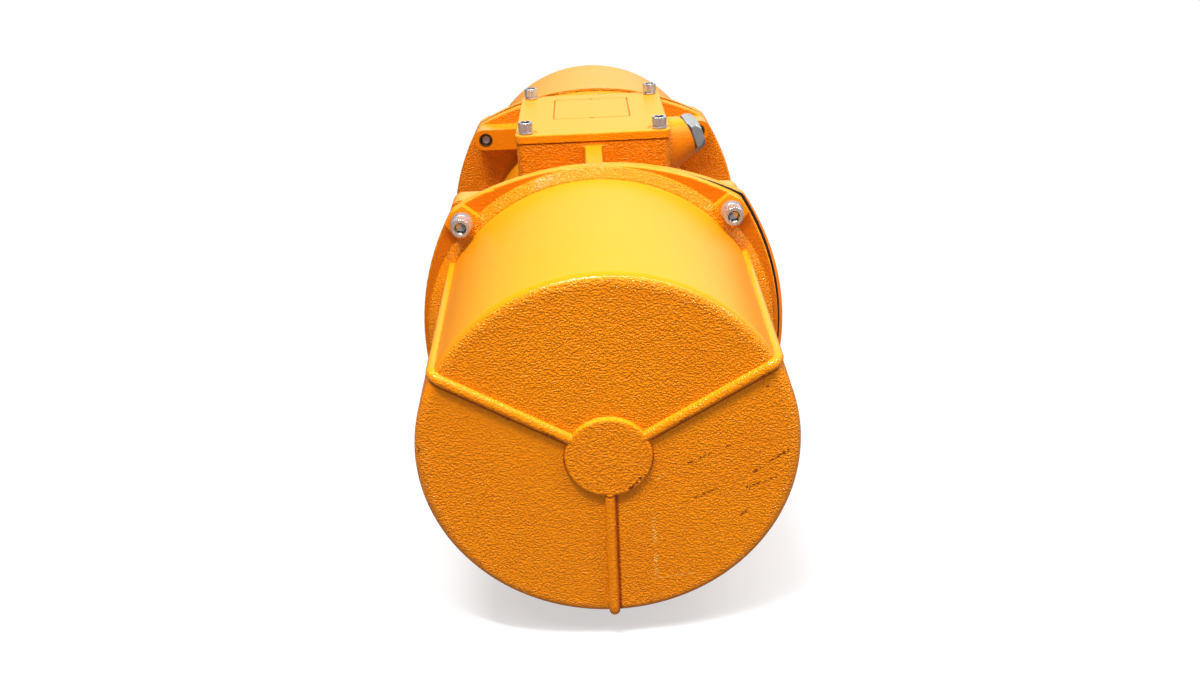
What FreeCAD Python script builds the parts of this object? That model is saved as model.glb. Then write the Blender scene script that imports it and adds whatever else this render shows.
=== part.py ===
import FreeCAD, Part
import math
import os

# Unbalance (vibration) motor with a foot-mounted cast housing and two bolted covers.
# Millimetres.  +Y runs along the shaft from the front end to the rear end, +X to the right
# of someone facing the front cover, +Z up.  The origin is on the foot face, under the middle
# of the shaft.  Everything is drawn around the shaft line (z = 0) and lifted at export.
# One end is drawn on the +Y side, where "s" is the distance out from the middle of the motor,
# and mirrored for the front end.

# ---- standard hardware (head radius, head height, shank radius, socket across flats) --------
M5_CAP = {"head_r": 4.25, "head_h": 5.0, "shank_r": 2.5, "socket": 4.0}
M6_CAP = {"head_r": 5.0, "head_h": 6.0, "shank_r": 3.0, "socket": 5.0}
M8_CAP = {"head_r": 6.5, "head_h": 8.0, "shank_r": 4.0, "socket": 6.0}
M10_CAP = {"head_r": 8.0, "head_h": 10.0, "shank_r": 5.0, "socket": 8.0}
HOLE_CLEARANCE = 0.1          # radius of a tapped hole over its screw
PASS_CLEARANCE = 0.5          # radius of a plain hole over its screw
RUNNING_CLEARANCE = 0.05      # radius of a turning fit
FACE_GAP = 0.3                # between faces that turn past each other
THREAD_END = 2.5              # a cover screw stands out this far behind its bolt bar
PLAIN_WASHER_T = 1.6
SPRING_WASHER_T = 2.2
WASHER_SPLIT = 0.8
SOCKET_SHARE = 0.55           # depth of a screw's socket, as a share of its head

# ---- body of the motor ---------------------------------------------------------------------------
SEAM_FROM_MIDDLE = 114.5      # middle of the motor to a body flange's outer face
STATOR_R = 76.0               # bore of the barrel
BARREL_WALL = 12.5
BODY_FLANGE_T = 9.0
GASKET_T = 1.5
BAR_DEPTH = 19.5              # bolt bars behind a body flange
BAR_HALF_H = 8.5
BAR_END = 9.5                 # bolt line to the round end of a bar
BAR_END_ROUND = 8.0
CROSS_WEB_T = 10.0            # webs under the barrel, from foot to foot
CROSS_WEB_PLACES = (-40.0, 30.0)
CROSS_WEB_LIFT = 14.0         # foot face to a cross web's lower edge

# ---- feet ------------------------------------------------------------------------------------------
GROUND_CLEARANCE = 7.5        # foot face to the lowest point of a cover's flange
FOOT_T = 22.0
FOOT_HOLE_R = 8.75
FOOT_BOLT_OUT = 16.5          # barrel's side to the foot bolts
FOOT_EDGE = 20.0              # foot bolts to the foot's outer edge
FOOT_BOLT_END = 25.0          # foot bolts to the foot's ends
FOOT_SETBACK = 15.5           # body flange to the foot's ends
FOOT_CORNER_R = 12.0
FOOT_EDGE_ROUND = 2.0
FOOT_SPOT_R = 16.0            # machined seat round a foot bolt
FOOT_SPOT_DEPTH = 0.8
FOOT_WALL = 14.0
GUSSET_T = 12.0
GUSSET_H = 52.0
GUSSET_STEP = 4.0             # foot's outer edge to a gusset's toe, and the toe's height
MIDDLE_GUSSET_Y = -6.0

# ---- bearings, shaft, stator and rotor ---------------------------------------------------------------
BEARING_BORE_R = 22.5
BEARING_OUTER_R = 50.0
BEARING_WIDTH = 36.0
BEARING_OUTSTAND = 5.5        # body flange's face to the bearing's outer side
INNER_RING_T = 7.5
OUTER_RING_T = 7.0
RACE_LIP_T = 3.0
RACE_LIP_H = 2.5
ROLLER_SPACING = 1.4          # distance between rollers, in roller diameters, before rounding
CAGE_HALF_T = 2.5
CAGE_RIM = 2.5
POCKET_CLEARANCE = 0.2
SHIELD_T = 8.0
SHIELD_RECESS = 5.0           # depth of the shield's seat in the body flange
SHIELD_RIM = 10.75            # shield's screws to its edge
SHIELD_BOLTS = 6
SHIELD_LIP_T = 4.0            # lip behind the bearing
SPIGOT_LENGTH = 12.0
SPIGOT_T = 8.0
HUB_WALL = 10.0
CAP_T = 7.0
CAP_BOLTS = 4
CAP_CHAMFER = 1.5
ROTOR_SEAT_STEP = 4.5         # shaft's rotor seat over its bearing seats
WEIGHT_SEAT_STEP = 1.5        # shaft's bearing seats over its weight seats
SHAFT_TIP = 7.9               # retaining ring to the shaft's end
SHAFT_CHAMFER = 2.0
ROTOR_R = 46.0
AIR_GAP = 0.5
SLOTS = 12
SLOT_HALF_WIDTH = 5.5
TOOTH_TIP = 4.0
CORE_BACK = 10.0
END_TURN = 20.0               # length of a winding's end turns
WINDING_ROOM = 4.5            # end turns to the shield
WINDING_LIFT = 0.5            # core's face to the end turns
CAGE_BAR_R = 3.0
CAGE_BAR_DEPTH = 1.5          # rotor's surface to its bars
CAGE_END_T = 9.0
CAGE_END_H = 10.5

# ---- unbalance weights ---------------------------------------------------------------------------------
FIXED_WEIGHT_R = 93.0
WEIGHT_STEP = 5.0             # fixed weight's reach over the adjustable one's
WEIGHT_T = 42.0
WEIGHT_HUB_WALL = 15.0
WEIGHT_SLIT = 4.0
LOBE_SHOULDER = 30.0          # the lobe's upper corners are cut back by this much and this deep
LOBE_SHOULDER_DROP = 14.0
CLAMP_HALF_WIDTH = 22.0
CLAMP_RISE = 14.0             # hub to the clamp's top
CLAMP_SCREW_RISE = 3.0        # hub to the clamp's screw
CLAMP_SCREW_LENGTH = 42.0
CAP_ROOM = 10.0               # bearing cap's screw heads to the fixed weight
KEY_WIDTH = 10.0
KEY_HEIGHT = 8.0
KEY_DEPTH = 5.0               # depth of the key's slot in the shaft
KEY_END = 4.0                 # weight's face to the key's ends
END_WASHER_T = 3.0
END_WASHER_WIDTH = 12.0
RETAINING_RING_T = 2.5
RETAINING_RING_DEPTH = 1.8
RETAINING_RING_RISE = 4.0
RETAINING_RING_GAP = 10.0

# ---- covers and their flanges ----------------------------------------------------------------------------
COVER_ROOM = 8.0              # the larger of fixed weight and shield to the inside of a cover
END_ROOM = 40.0               # shaft's end to the inside of a cover's face
COVER_WALL = 5.0
COVER_TAPER = 4.5             # cover's radius grows this much from its face to its flange
COVER_EDGE_ROUND = 6.0        # rounding between face and side of a cover
COVER_FLANGE_T = 6.0
FLANGE_WIDTH = 9.5            # cover's side to the flange's edge, at mid height
FLANGE_HEIGHT = 7.0           # the same above and below
BODY_FLANGE_WIDER = 1.0       # body flange over the cover's flange at the sides
BODY_FLANGE_LOWER = 2.0       # body flange under the cover's flange above and below
FRONT_FLANGE_SHIFT = 3.0      # the front body flange is cast this far towards the cable entry's side
FLANGE_CORNER_R = 9.5
FLANGE_EDGE_ROUND = 1.5
COVER_BOLT_OUT = 11.13        # cover's side to the bolt circle
COVER_BOLT_ANGLE = 44.33      # first bolt above the horizontal
BEAD_R = 3.2
BEAD_ANGLES = (30.0, 150.0, 270.0)
BEAD_ROOT = 3.0               # how far a bead starts inside the disc
DISC_R = 23.7
DISC_H = 3.0
DISC_EDGE_ROUND = 1.5
SKIRT_WIDTH = 6.7             # sloping ring round the cover's base
SKIRT_STEP = 1.4              # upright edge of that ring
SKIRT_H = 5.5
PAD_H = 5.0                   # bolt pad over the cover flange
PAD_EDGE_ROUND = 1.0
PAD_HALF_IN = 11.5            # half width of a pad beside the cover's side
PAD_HALF_OUT = 8.0            # half width at the flange's corner

# ---- terminal box ------------------------------------------------------------------------------------
BOX_HALF_WIDTH = 52.8
BOX_HALF_LENGTH = 61.5
BOX_RISE = 2.0                # body flange's top to the box's rim
BOX_WALL = 6.0
BOX_CORNER_R = 5.0
LID_T = 5.8
LID_OVERHANG = 0.6
LID_EDGE_ROUND = 1.0
LID_SEAL_T = 0.7
LID_SEAL_INSET = 1.5
LID_BOLT_IN_X = 6.8           # box's side to its lid screws
LID_BOLT_IN_Y = 5.9           # box's end to its lid screws
LID_SCREW_LENGTH = 20.0
LID_SPOT_R = 8.0              # milled seat round a lid screw
LID_SPOT_DEPTH = 0.3
PILLAR_R = 7.5
PANEL_HALF_WIDTH = 27.5       # panel framed by a groove on the lid
PANEL_HALF_LENGTH = 31.0
PANEL_Y = 14.0                # middle of the lid to the middle of the panel
PANEL_CORNER_R = 1.5
PANEL_LINE = 0.9              # width and depth of the groove
PANEL_NOTCH = 1.4             # half side and depth of the square notch in the panel's end lines
WEB_HALF_T = 5.5              # web between the terminal box and a body flange
WEB_FLARE = 5.0
WEB_DROP = 0.5                # body flange's top to the web's top
WIRE_HOLE_R = 9.0
WIRE_HOLE = (-14.0, -40.0)
TERMINAL_RISE = 16.0          # stator's outside to the terminal block's underside
TERMINAL_BLOCK = (30.0, 18.0, 8.0)   # half width, half length and thickness
TERMINAL_RIB_H = 5.0
TERMINAL_COLUMNS = (-16.0, 0.0, 16.0)
TERMINAL_ROWS = (-8.0, 8.0)
TERMINAL_FIXING_X = 25.0
STUD_R = 2.0
STUD_LENGTH = 18.0
NUT_ACROSS = 7.0
NUT_T = 3.2

# ---- cable entry -------------------------------------------------------------------------------------
ENTRY_OUT = 16.2              # box's side to the middle of the boss's rim
ENTRY_Y = 7.0
ENTRY_DROP = 16.0             # box's rim down to the middle of the boss's rim
ENTRY_DIRECTION = (0.896, 0.338, 0.287)
ENTRY_RIM_R = 15.5
ENTRY_THREAD_R = 12.5
ENTRY_THREAD_LENGTH = 12.0
BOSS_ROOT_HALF_WIDTH = 18.0
BOSS_ROOT_HEIGHT = 48.5
BOSS_ROOT_DROP = 0.5          # box's rim to the boss's root
PLUG_HEX = 27.0
PLUG_HEAD_T = 8.5
PLUG_TURN = 25.0              # how far round the plug is screwed
SEAL_T = 1.2

# ---- derived places -----------------------------------------------------------------------------
BARREL_R = STATOR_R + BARREL_WALL
BODY_FLANGE_BACK = SEAM_FROM_MIDDLE - BODY_FLANGE_T
SHIELD_SEAT = SEAM_FROM_MIDDLE - SHIELD_RECESS
SHIELD_BOLT_R = STATOR_R + BARREL_WALL / 2
SHIELD_R = SHIELD_BOLT_R + SHIELD_RIM
HUB_R = BEARING_OUTER_R + HUB_WALL
CAP_R = HUB_R - 2
CAP_BOLT_R = BEARING_OUTER_R + HUB_WALL * 0.45
BEARING_END = SEAM_FROM_MIDDLE + BEARING_OUTSTAND
BEARING_START = BEARING_END - BEARING_WIDTH
HUB_START = BEARING_START - SHIELD_LIP_T
CAP_END = BEARING_END + CAP_T
RACE_IN_R = BEARING_BORE_R + INNER_RING_T
RACE_OUT_R = BEARING_OUTER_R - OUTER_RING_T
PITCH_R = (RACE_OUT_R + RACE_IN_R) / 2
ROLLER_R = (RACE_OUT_R - RACE_IN_R) / 2 - RUNNING_CLEARANCE
ROLLER_COUNT = int(math.pi / math.asin(ROLLER_SPACING * ROLLER_R / PITCH_R))
ROLLER_START = BEARING_START + RACE_LIP_T + FACE_GAP + 0.2
ROLLER_END = BEARING_END - RACE_LIP_T - FACE_GAP - 0.2
CORE_HALF_LENGTH = HUB_START - WINDING_ROOM - END_TURN - WINDING_LIFT
SLOT_IN_R = ROTOR_R + AIR_GAP + TOOTH_TIP
SLOT_OUT_R = STATOR_R - CORE_BACK
CAGE_RADIUS = ROTOR_R - CAGE_BAR_R - CAGE_BAR_DEPTH
ROTOR_SEAT_R = BEARING_BORE_R + ROTOR_SEAT_STEP
WEIGHT_SEAT_R = BEARING_BORE_R - WEIGHT_SEAT_STEP
WEIGHT_HUB_R = WEIGHT_SEAT_R + WEIGHT_HUB_WALL
ADJUSTABLE_WEIGHT_R = FIXED_WEIGHT_R - WEIGHT_STEP
CLAMP_SCREW_R = WEIGHT_HUB_R + CLAMP_SCREW_RISE
KEY_BOTTOM = WEIGHT_SEAT_R - KEY_DEPTH
GROOVE_R = WEIGHT_SEAT_R - RETAINING_RING_DEPTH
WEIGHT_START = CAP_END + M5_CAP["head_h"] + CAP_ROOM
ADJUSTABLE_START = WEIGHT_START + WEIGHT_T + FACE_GAP
END_WASHER_START = ADJUSTABLE_START + WEIGHT_T + FACE_GAP
RETAINING_RING_START = END_WASHER_START + END_WASHER_T
SHAFT_END = RETAINING_RING_START + RETAINING_RING_T + SHAFT_TIP
COVER_SEAT = SEAM_FROM_MIDDLE + GASKET_T
COVER_FLANGE_FACE = COVER_SEAT + COVER_FLANGE_T
COVER_FACE = SHAFT_END + END_ROOM + COVER_WALL
COVER_FACE_R = max(FIXED_WEIGHT_R, SHIELD_R) + COVER_ROOM + COVER_WALL
COVER_BASE_R = COVER_FACE_R + COVER_TAPER
COVER_FLANGE_HALF_WIDTH = COVER_BASE_R + FLANGE_WIDTH
COVER_FLANGE_HALF_HEIGHT = COVER_BASE_R + FLANGE_HEIGHT
BODY_FLANGE_HALF_WIDTH = COVER_FLANGE_HALF_WIDTH + BODY_FLANGE_WIDER
BODY_FLANGE_HALF_HEIGHT = COVER_FLANGE_HALF_HEIGHT - BODY_FLANGE_LOWER
COVER_BOLT_X = (COVER_BASE_R + COVER_BOLT_OUT) * math.cos(math.radians(COVER_BOLT_ANGLE))
COVER_BOLT_Z = (COVER_BASE_R + COVER_BOLT_OUT) * math.sin(math.radians(COVER_BOLT_ANGLE))
COVER_WASHER_SEAT = COVER_FLANGE_FACE + PAD_H
COVER_SCREW_SEAT = COVER_WASHER_SEAT + PLAIN_WASHER_T + SPRING_WASHER_T
SHAFT_HEIGHT = COVER_FLANGE_HALF_HEIGHT + GROUND_CLEARANCE
FOOT_TOP = FOOT_T - SHAFT_HEIGHT
FOOT_BOLT_X = BARREL_R + FOOT_BOLT_OUT
FOOT_HALF_WIDTH = FOOT_BOLT_X + FOOT_EDGE
FOOT_HALF_LENGTH = BODY_FLANGE_BACK - FOOT_SETBACK
FOOT_BOLT_Y = FOOT_HALF_LENGTH - FOOT_BOLT_END
BOX_TOP = BODY_FLANGE_HALF_HEIGHT + BOX_RISE
LID_BOTTOM = BOX_TOP + LID_SEAL_T
LID_TOP = LID_BOTTOM + LID_T
LID_BOLT_X = BOX_HALF_WIDTH - LID_BOLT_IN_X
LID_BOLT_Y = BOX_HALF_LENGTH - LID_BOLT_IN_Y
LID_WASHER_SEAT = LID_TOP - LID_SPOT_DEPTH
LID_SCREW_SEAT = LID_WASHER_SEAT + SPRING_WASHER_T
TERMINAL_BASE = STATOR_R + TERMINAL_RISE
TERMINAL_TOP = TERMINAL_BASE + TERMINAL_BLOCK[2]
ENTRY_RIM = (BOX_HALF_WIDTH + ENTRY_OUT, ENTRY_Y, BOX_TOP - ENTRY_DROP)

V = FreeCAD.Vector
ORIGIN = V(0, 0, 0)
Y_AXIS = V(0, 1, 0)
Z_AXIS = V(0, 0, 1)


# ---- small helpers ------------------------------------------------------------------------------
def disc(radius, s0, s1, x=0.0, z=0.0):
    """Round bar along Y from s0 to s1."""
    return Part.makeCylinder(radius, s1 - s0, V(x, s0, z), Y_AXIS)


def ring(r_in, r_out, s0, s1):
    return disc(r_out, s0, s1).cut(disc(r_in, s0 - 1, s1 + 1))


def block(x0, x1, y0, y1, z0, z1):
    return Part.makeBox(x1 - x0, y1 - y0, z1 - z0, V(x0, y0, z0))


def rounded_wire(points, radii):
    """Closed wire through the points, each corner rounded to its radius (0 keeps it sharp)."""
    count = len(points)
    corners = []
    for i, point in enumerate(points):
        radius = radii[i]
        if radius <= 0:
            corners.append((point, None, point))
            continue
        back = (points[i - 1] - point).normalize()
        ahead = (points[(i + 1) % count] - point).normalize()
        half = back.getAngle(ahead) / 2
        reach = radius / math.tan(half)
        centre = point + (back + ahead).normalize() * (radius / math.sin(half))
        middle = centre + (point - centre).normalize() * radius
        corners.append((point + back * reach, middle, point + ahead * reach))
    edges = []
    for i, (start, middle, end) in enumerate(corners):
        if middle is not None:
            edges.append(Part.Arc(start, middle, end).toShape())
        following = corners[(i + 1) % count][0]
        if end.distanceToPoint(following) > 1e-6:
            edges.append(Part.LineSegment(end, following).toShape())
    return Part.Wire(edges)


def turned(points, radii=None):
    """Solid of revolution about Y from (radius, s) points."""
    corners = [V(r, s, 0) for r, s in points]
    wire = rounded_wire(corners, radii or [0] * len(corners))
    return Part.Face(wire).revolve(ORIGIN, Y_AXIS, 360)


def around(shape, angle):
    """Copy turned about the shaft, so that +X goes to the given angle in the XZ plane."""
    copy = shape.copy()
    copy.rotate(ORIGIN, Y_AXIS, -angle)
    return copy


def spaced(shape, count, first=0.0):
    return [around(shape, first + i * 360.0 / count) for i in range(count)]


def fused(shapes):
    return shapes[0].multiFuse(shapes[1:]).removeSplitter()


def placed(shape, position, direction):
    """Copy of a shape drawn along +Z, moved to a place and turned to a direction."""
    copy = shape.copy()
    turn = FreeCAD.Rotation(Z_AXIS, V(*direction))
    copy.Placement = FreeCAD.Placement(V(*position), turn)
    return copy


def rounded_block(half_x, half_y, z0, z1, radius, y=0.0):
    corners = [V(-half_x, y - half_y, z0), V(half_x, y - half_y, z0)]
    corners += [V(half_x, y + half_y, z0), V(-half_x, y + half_y, z0)]
    return Part.Face(rounded_wire(corners, [radius] * 4)).extrude(V(0, 0, z1 - z0))


def profile_along_y(points, radii, s0, s1):
    """Prism along Y from (x, z) points."""
    corners = [V(x, s0, z) for x, z in points]
    return Part.Face(rounded_wire(corners, radii)).extrude(V(0, s1 - s0, 0))


def hexagon(across, height, z0=0.0):
    """Hexagonal bar along Z."""
    radius = across / math.sqrt(3)
    corners = [V(radius * math.cos(math.radians(60 * i)), radius * math.sin(math.radians(60 * i)), z0)
               for i in range(6)]
    return Part.Face(Part.makePolygon(corners + [corners[0]])).extrude(V(0, 0, height))


def cap_screw(size, length):
    """Socket head cap screw along Z: the head sits on z = 0 and the shank points down."""
    head = Part.makeCylinder(size["head_r"], size["head_h"])
    floor = size["head_h"] * (1 - SOCKET_SHARE)
    head = head.cut(hexagon(size["socket"], size["head_h"], floor))
    return head.fuse(Part.makeCylinder(size["shank_r"], length, V(0, 0, -length)))


def spring_washer(size):
    """Split ring as wide as the screw's head, standing on z = 0."""
    washer = Part.makeCylinder(size["head_r"] - 0.1, SPRING_WASHER_T)
    bore = Part.makeCylinder(size["shank_r"] + HOLE_CLEARANCE, SPRING_WASHER_T)
    split = block(0, size["head_r"] + 1, -WASHER_SPLIT / 2, WASHER_SPLIT / 2, -1, SPRING_WASHER_T + 1)
    return washer.cut([bore, split])


def mirrored(shape):
    return shape.mirror(ORIGIN, Y_AXIS)


def bolt_places():
    return [(x, z) for x in (-COVER_BOLT_X, COVER_BOLT_X) for z in (-COVER_BOLT_Z, COVER_BOLT_Z)]


def lid_corners():
    return [(x, y) for x in (-LID_BOLT_X, LID_BOLT_X) for y in (-LID_BOLT_Y, LID_BOLT_Y)]


def edges_at(shape, s):
    """Edges of a plate that lie in the plane at s."""
    return [edge for edge in shape.Edges
            if edge.BoundBox.YMin > s - 0.01 and edge.BoundBox.YMax < s + 0.01]


# ---- flange outline ------------------------------------------------------------------------------
def flange_plate(s0, s1, half_w, half_h):
    """Plate with four bulging sides that run into a round corner at each bolt."""
    corner = FLANGE_CORNER_R
    bolt = V(COVER_BOLT_X, 0, COVER_BOLT_Z)
    top_r = (bolt.x ** 2 + (bolt.z - half_h) ** 2 - corner ** 2) / (2 * (half_h - bolt.z - corner))
    side_r = (bolt.z ** 2 + (bolt.x - half_w) ** 2 - corner ** 2) / (2 * (half_w - bolt.x - corner))
    to_top = (bolt - V(0, 0, half_h - top_r)).normalize()
    to_side = (bolt - V(half_w - side_r, 0, 0)).normalize()
    top_end = bolt + to_top * corner
    side_end = bolt + to_side * corner
    nose = bolt + (to_top + to_side).normalize() * corner

    def flip(point, x, z):
        return V(point.x * x, s0, point.z * z)

    edges = []
    for x, z in ((1, 1), (1, -1), (-1, -1), (-1, 1)):
        edges.append(Part.Arc(flip(top_end, x, z), flip(nose, x, z), flip(side_end, x, z)).toShape())
    for x in (1, -1):
        edges.append(Part.Arc(flip(side_end, x, 1), V(x * half_w, s0, 0), flip(side_end, x, -1)).toShape())
    for z in (1, -1):
        edges.append(Part.Arc(flip(top_end, 1, z), V(0, s0, z * half_h), flip(top_end, -1, z)).toShape())
    wire = Part.Wire(Part.__sortEdges__(edges))
    return Part.Face(wire).extrude(V(0, s1 - s0, 0))


def cover_flange_plate(s0, s1):
    return flange_plate(s0, s1, COVER_FLANGE_HALF_WIDTH, COVER_FLANGE_HALF_HEIGHT)


def body_flange_plate(s0, s1, shift=0.0):
    plate = flange_plate(s0, s1, BODY_FLANGE_HALF_WIDTH, BODY_FLANGE_HALF_HEIGHT)
    plate.translate(V(shift, 0, 0))
    return plate


# ---- covers ----------------------------------------------------------------------------------------
def cover_bead(angle):
    """Half-round bead from the centre disc over the rounded edge and back to the flange."""
    start = V(DISC_R - BEAD_ROOT, COVER_FACE, 0)
    edge = V(COVER_FACE_R, COVER_FACE, 0)
    end = V(COVER_BASE_R, COVER_FLANGE_FACE - 2, 0)
    back = (start - edge).normalize()
    down = (end - edge).normalize()
    half = back.getAngle(down) / 2
    reach = COVER_EDGE_ROUND / math.tan(half)
    centre = edge + (back + down).normalize() * (COVER_EDGE_ROUND / math.sin(half))
    middle = centre + (edge - centre).normalize() * COVER_EDGE_ROUND
    path = Part.Wire([Part.LineSegment(start, edge + back * reach).toShape(),
                      Part.Arc(edge + back * reach, middle, edge + down * reach).toShape(),
                      Part.LineSegment(edge + down * reach, end).toShape()])
    section = Part.Wire(Part.Circle(start, V(1, 0, 0), BEAD_R).toShape())
    return around(path.makePipeShell([section], True, True), angle)


def bolt_pad(x, z):
    """Raised pad round a cover screw, narrowing towards the flange's corner."""
    out = V(x, 0, z).normalize()
    across = V(-out.z, 0, out.x)
    base = V(0, COVER_SEAT, 0)
    near = base + out * (COVER_BASE_R - 3)
    far = base + out * (math.hypot(x, z) + 2 * FLANGE_CORNER_R)
    points = [near - across * PAD_HALF_IN, far - across * PAD_HALF_OUT]
    points += [far + across * PAD_HALF_OUT, near + across * PAD_HALF_IN]
    height = COVER_FLANGE_T + PAD_H
    wedge = Part.Face(Part.makePolygon(points + [points[0]])).extrude(V(0, height, 0))
    pad = wedge.common(cover_flange_plate(COVER_SEAT, COVER_SEAT + height))
    return pad.makeFillet(PAD_EDGE_ROUND, edges_at(pad, COVER_SEAT + height))


def cover():
    shell = turned([(0, COVER_SEAT), (COVER_BASE_R, COVER_SEAT), (COVER_BASE_R, COVER_FLANGE_FACE),
                    (COVER_FACE_R, COVER_FACE), (0, COVER_FACE)],
                   [0, 0, 0, COVER_EDGE_ROUND, 0])
    skirt_r = COVER_BASE_R + SKIRT_WIDTH
    skirt = turned([(COVER_BASE_R - 3, COVER_FLANGE_FACE - 1), (skirt_r, COVER_FLANGE_FACE - 1),
                    (skirt_r - 0.4, COVER_FLANGE_FACE + SKIRT_STEP),
                    (COVER_BASE_R + 0.6, COVER_FLANGE_FACE + SKIRT_H),
                    (COVER_BASE_R - 3, COVER_FLANGE_FACE + SKIRT_H)])
    centre = turned([(0, COVER_FACE - 1), (DISC_R + 1, COVER_FACE - 1), (DISC_R, COVER_FACE + DISC_H),
                     (0, COVER_FACE + DISC_H)], [0, 0, DISC_EDGE_ROUND, 0])
    plate = cover_flange_plate(COVER_SEAT, COVER_FLANGE_FACE)
    plate = plate.makeFillet(FLANGE_EDGE_ROUND, edges_at(plate, COVER_FLANGE_FACE))
    parts = [shell, plate, skirt, centre]
    parts += [bolt_pad(x, z) for x, z in bolt_places()]
    parts += [cover_bead(angle) for angle in BEAD_ANGLES]
    body = fused(parts)
    inner_r = COVER_FACE_R - COVER_WALL
    inner_end = COVER_FACE - COVER_WALL
    hollow = turned([(0, COVER_SEAT - 1), (COVER_BASE_R - COVER_WALL, COVER_SEAT - 1),
                     (inner_r, inner_end - COVER_EDGE_ROUND), (inner_r - COVER_EDGE_ROUND, inner_end),
                     (0, inner_end)])
    body = body.cut(hollow)
    hole_r = M8_CAP["shank_r"] + PASS_CLEARANCE
    for x, z in bolt_places():
        body = body.cut(disc(hole_r, COVER_SEAT - 1, COVER_WASHER_SEAT + 1, x, z))
    return body


def cover_gasket(shift):
    """Rubber sheet cut to the body flange, so that it stands out wherever that flange does."""
    sheet = body_flange_plate(SEAM_FROM_MIDDLE, COVER_SEAT, shift)
    tools = [disc(COVER_BASE_R - COVER_WALL, SEAM_FROM_MIDDLE - 1, COVER_SEAT + 1)]
    for x, z in bolt_places():
        tools.append(disc(M8_CAP["shank_r"] + PASS_CLEARANCE, SEAM_FROM_MIDDLE - 1, COVER_SEAT + 1, x, z))
    return sheet.cut(tools)


def cover_screw_washers():
    """A plain washer under a spring washer at each cover screw."""
    plain = Part.makeCylinder(M8_CAP["head_r"] + 0.7, PLAIN_WASHER_T)
    plain = plain.cut(Part.makeCylinder(M8_CAP["shank_r"] + HOLE_CLEARANCE, PLAIN_WASHER_T))
    spring = spring_washer(M8_CAP)
    upper_seat = COVER_WASHER_SEAT + PLAIN_WASHER_T
    washers = [placed(plain, (x, COVER_WASHER_SEAT, z), (0, 1, 0)) for x, z in bolt_places()]
    washers += [placed(spring, (x, upper_seat, z), (0, 1, 0)) for x, z in bolt_places()]
    return Part.makeCompound(washers)


def cover_screws():
    length = COVER_SCREW_SEAT - BODY_FLANGE_BACK + BAR_DEPTH - THREAD_END
    screw = cap_screw(M8_CAP, length)
    return Part.makeCompound([placed(screw, (x, COVER_SCREW_SEAT, z), (0, 1, 0)) for x, z in bolt_places()])


# ---- housing -----------------------------------------------------------------------------------------
def entry_point(along):
    """Point on the cable entry's axis, measured out from the boss's rim."""
    return tuple(ENTRY_RIM[i] + ENTRY_DIRECTION[i] * along for i in range(3))


def entry_boss():
    """Boss that tapers from the box's right wall to the round rim of the cable entry."""
    root_x = BOX_HALF_WIDTH - BOX_WALL / 2
    height = BOSS_ROOT_HEIGHT / 2
    root = V(root_x, ENTRY_RIM[1] - 7, BOX_TOP - BOSS_ROOT_DROP - height)
    out = V(*ENTRY_DIRECTION).normalize()
    side = out.cross(Z_AXIS).normalize()
    up = side.cross(out)
    rim = V(*ENTRY_RIM)
    root_ring = Part.Ellipse(root + V(0, 0, height), root - V(0, BOSS_ROOT_HALF_WIDTH, 0), root)
    rim_ring = Part.Circle(rim + up * ENTRY_RIM_R, rim + side * ENTRY_RIM_R, rim - up * ENTRY_RIM_R)
    return Part.makeLoft([Part.Wire(root_ring.toShape()), Part.Wire(rim_ring.toShape())], True)


def foot(side):
    """Foot rail with its wall up to the barrel and the gussets between the bolt places."""
    floor = -SHAFT_HEIGHT
    half_width = (FOOT_HALF_WIDTH - BARREL_R + FOOT_WALL) / 2
    rail = rounded_block(half_width, FOOT_HALF_LENGTH, floor, FOOT_TOP, FOOT_CORNER_R)
    top_edges = [edge for edge in rail.Edges if edge.BoundBox.ZMin > FOOT_TOP - 0.1]
    rail = rail.makeFillet(FOOT_EDGE_ROUND, top_edges)
    rail.translate(V(FOOT_HALF_WIDTH - half_width, 0, 0))
    wall = block(BARREL_R - FOOT_WALL, BARREL_R, -BODY_FLANGE_BACK, BODY_FLANGE_BACK,
                 floor + GROUND_CLEARANCE, 0)
    toe = FOOT_HALF_WIDTH - GUSSET_STEP
    gusset_points = [(BARREL_R - 2, FOOT_TOP - 3), (toe, FOOT_TOP - 3), (toe, FOOT_TOP + GUSSET_STEP),
                     (BARREL_R - 2, FOOT_TOP + GUSSET_H)]
    parts = [rail, wall]
    for y in (-FOOT_HALF_LENGTH, MIDDLE_GUSSET_Y, FOOT_HALF_LENGTH - GUSSET_T):
        parts.append(profile_along_y(gusset_points, [0, 0, 3, 0], y, y + GUSSET_T))
    shape = fused(parts)
    return shape if side > 0 else shape.mirror(ORIGIN, V(1, 0, 0))


def bolt_bar(z):
    """Bar behind a body flange that takes the cover screws, rounded round each of them."""
    end = COVER_BOLT_X + BAR_END
    points = [(-end, z - BAR_HALF_H), (end, z - BAR_HALF_H), (end, z + BAR_HALF_H), (-end, z + BAR_HALF_H)]
    return profile_along_y(points, [BAR_END_ROUND] * 4, BODY_FLANGE_BACK - BAR_DEPTH, BODY_FLANGE_BACK)


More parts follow.
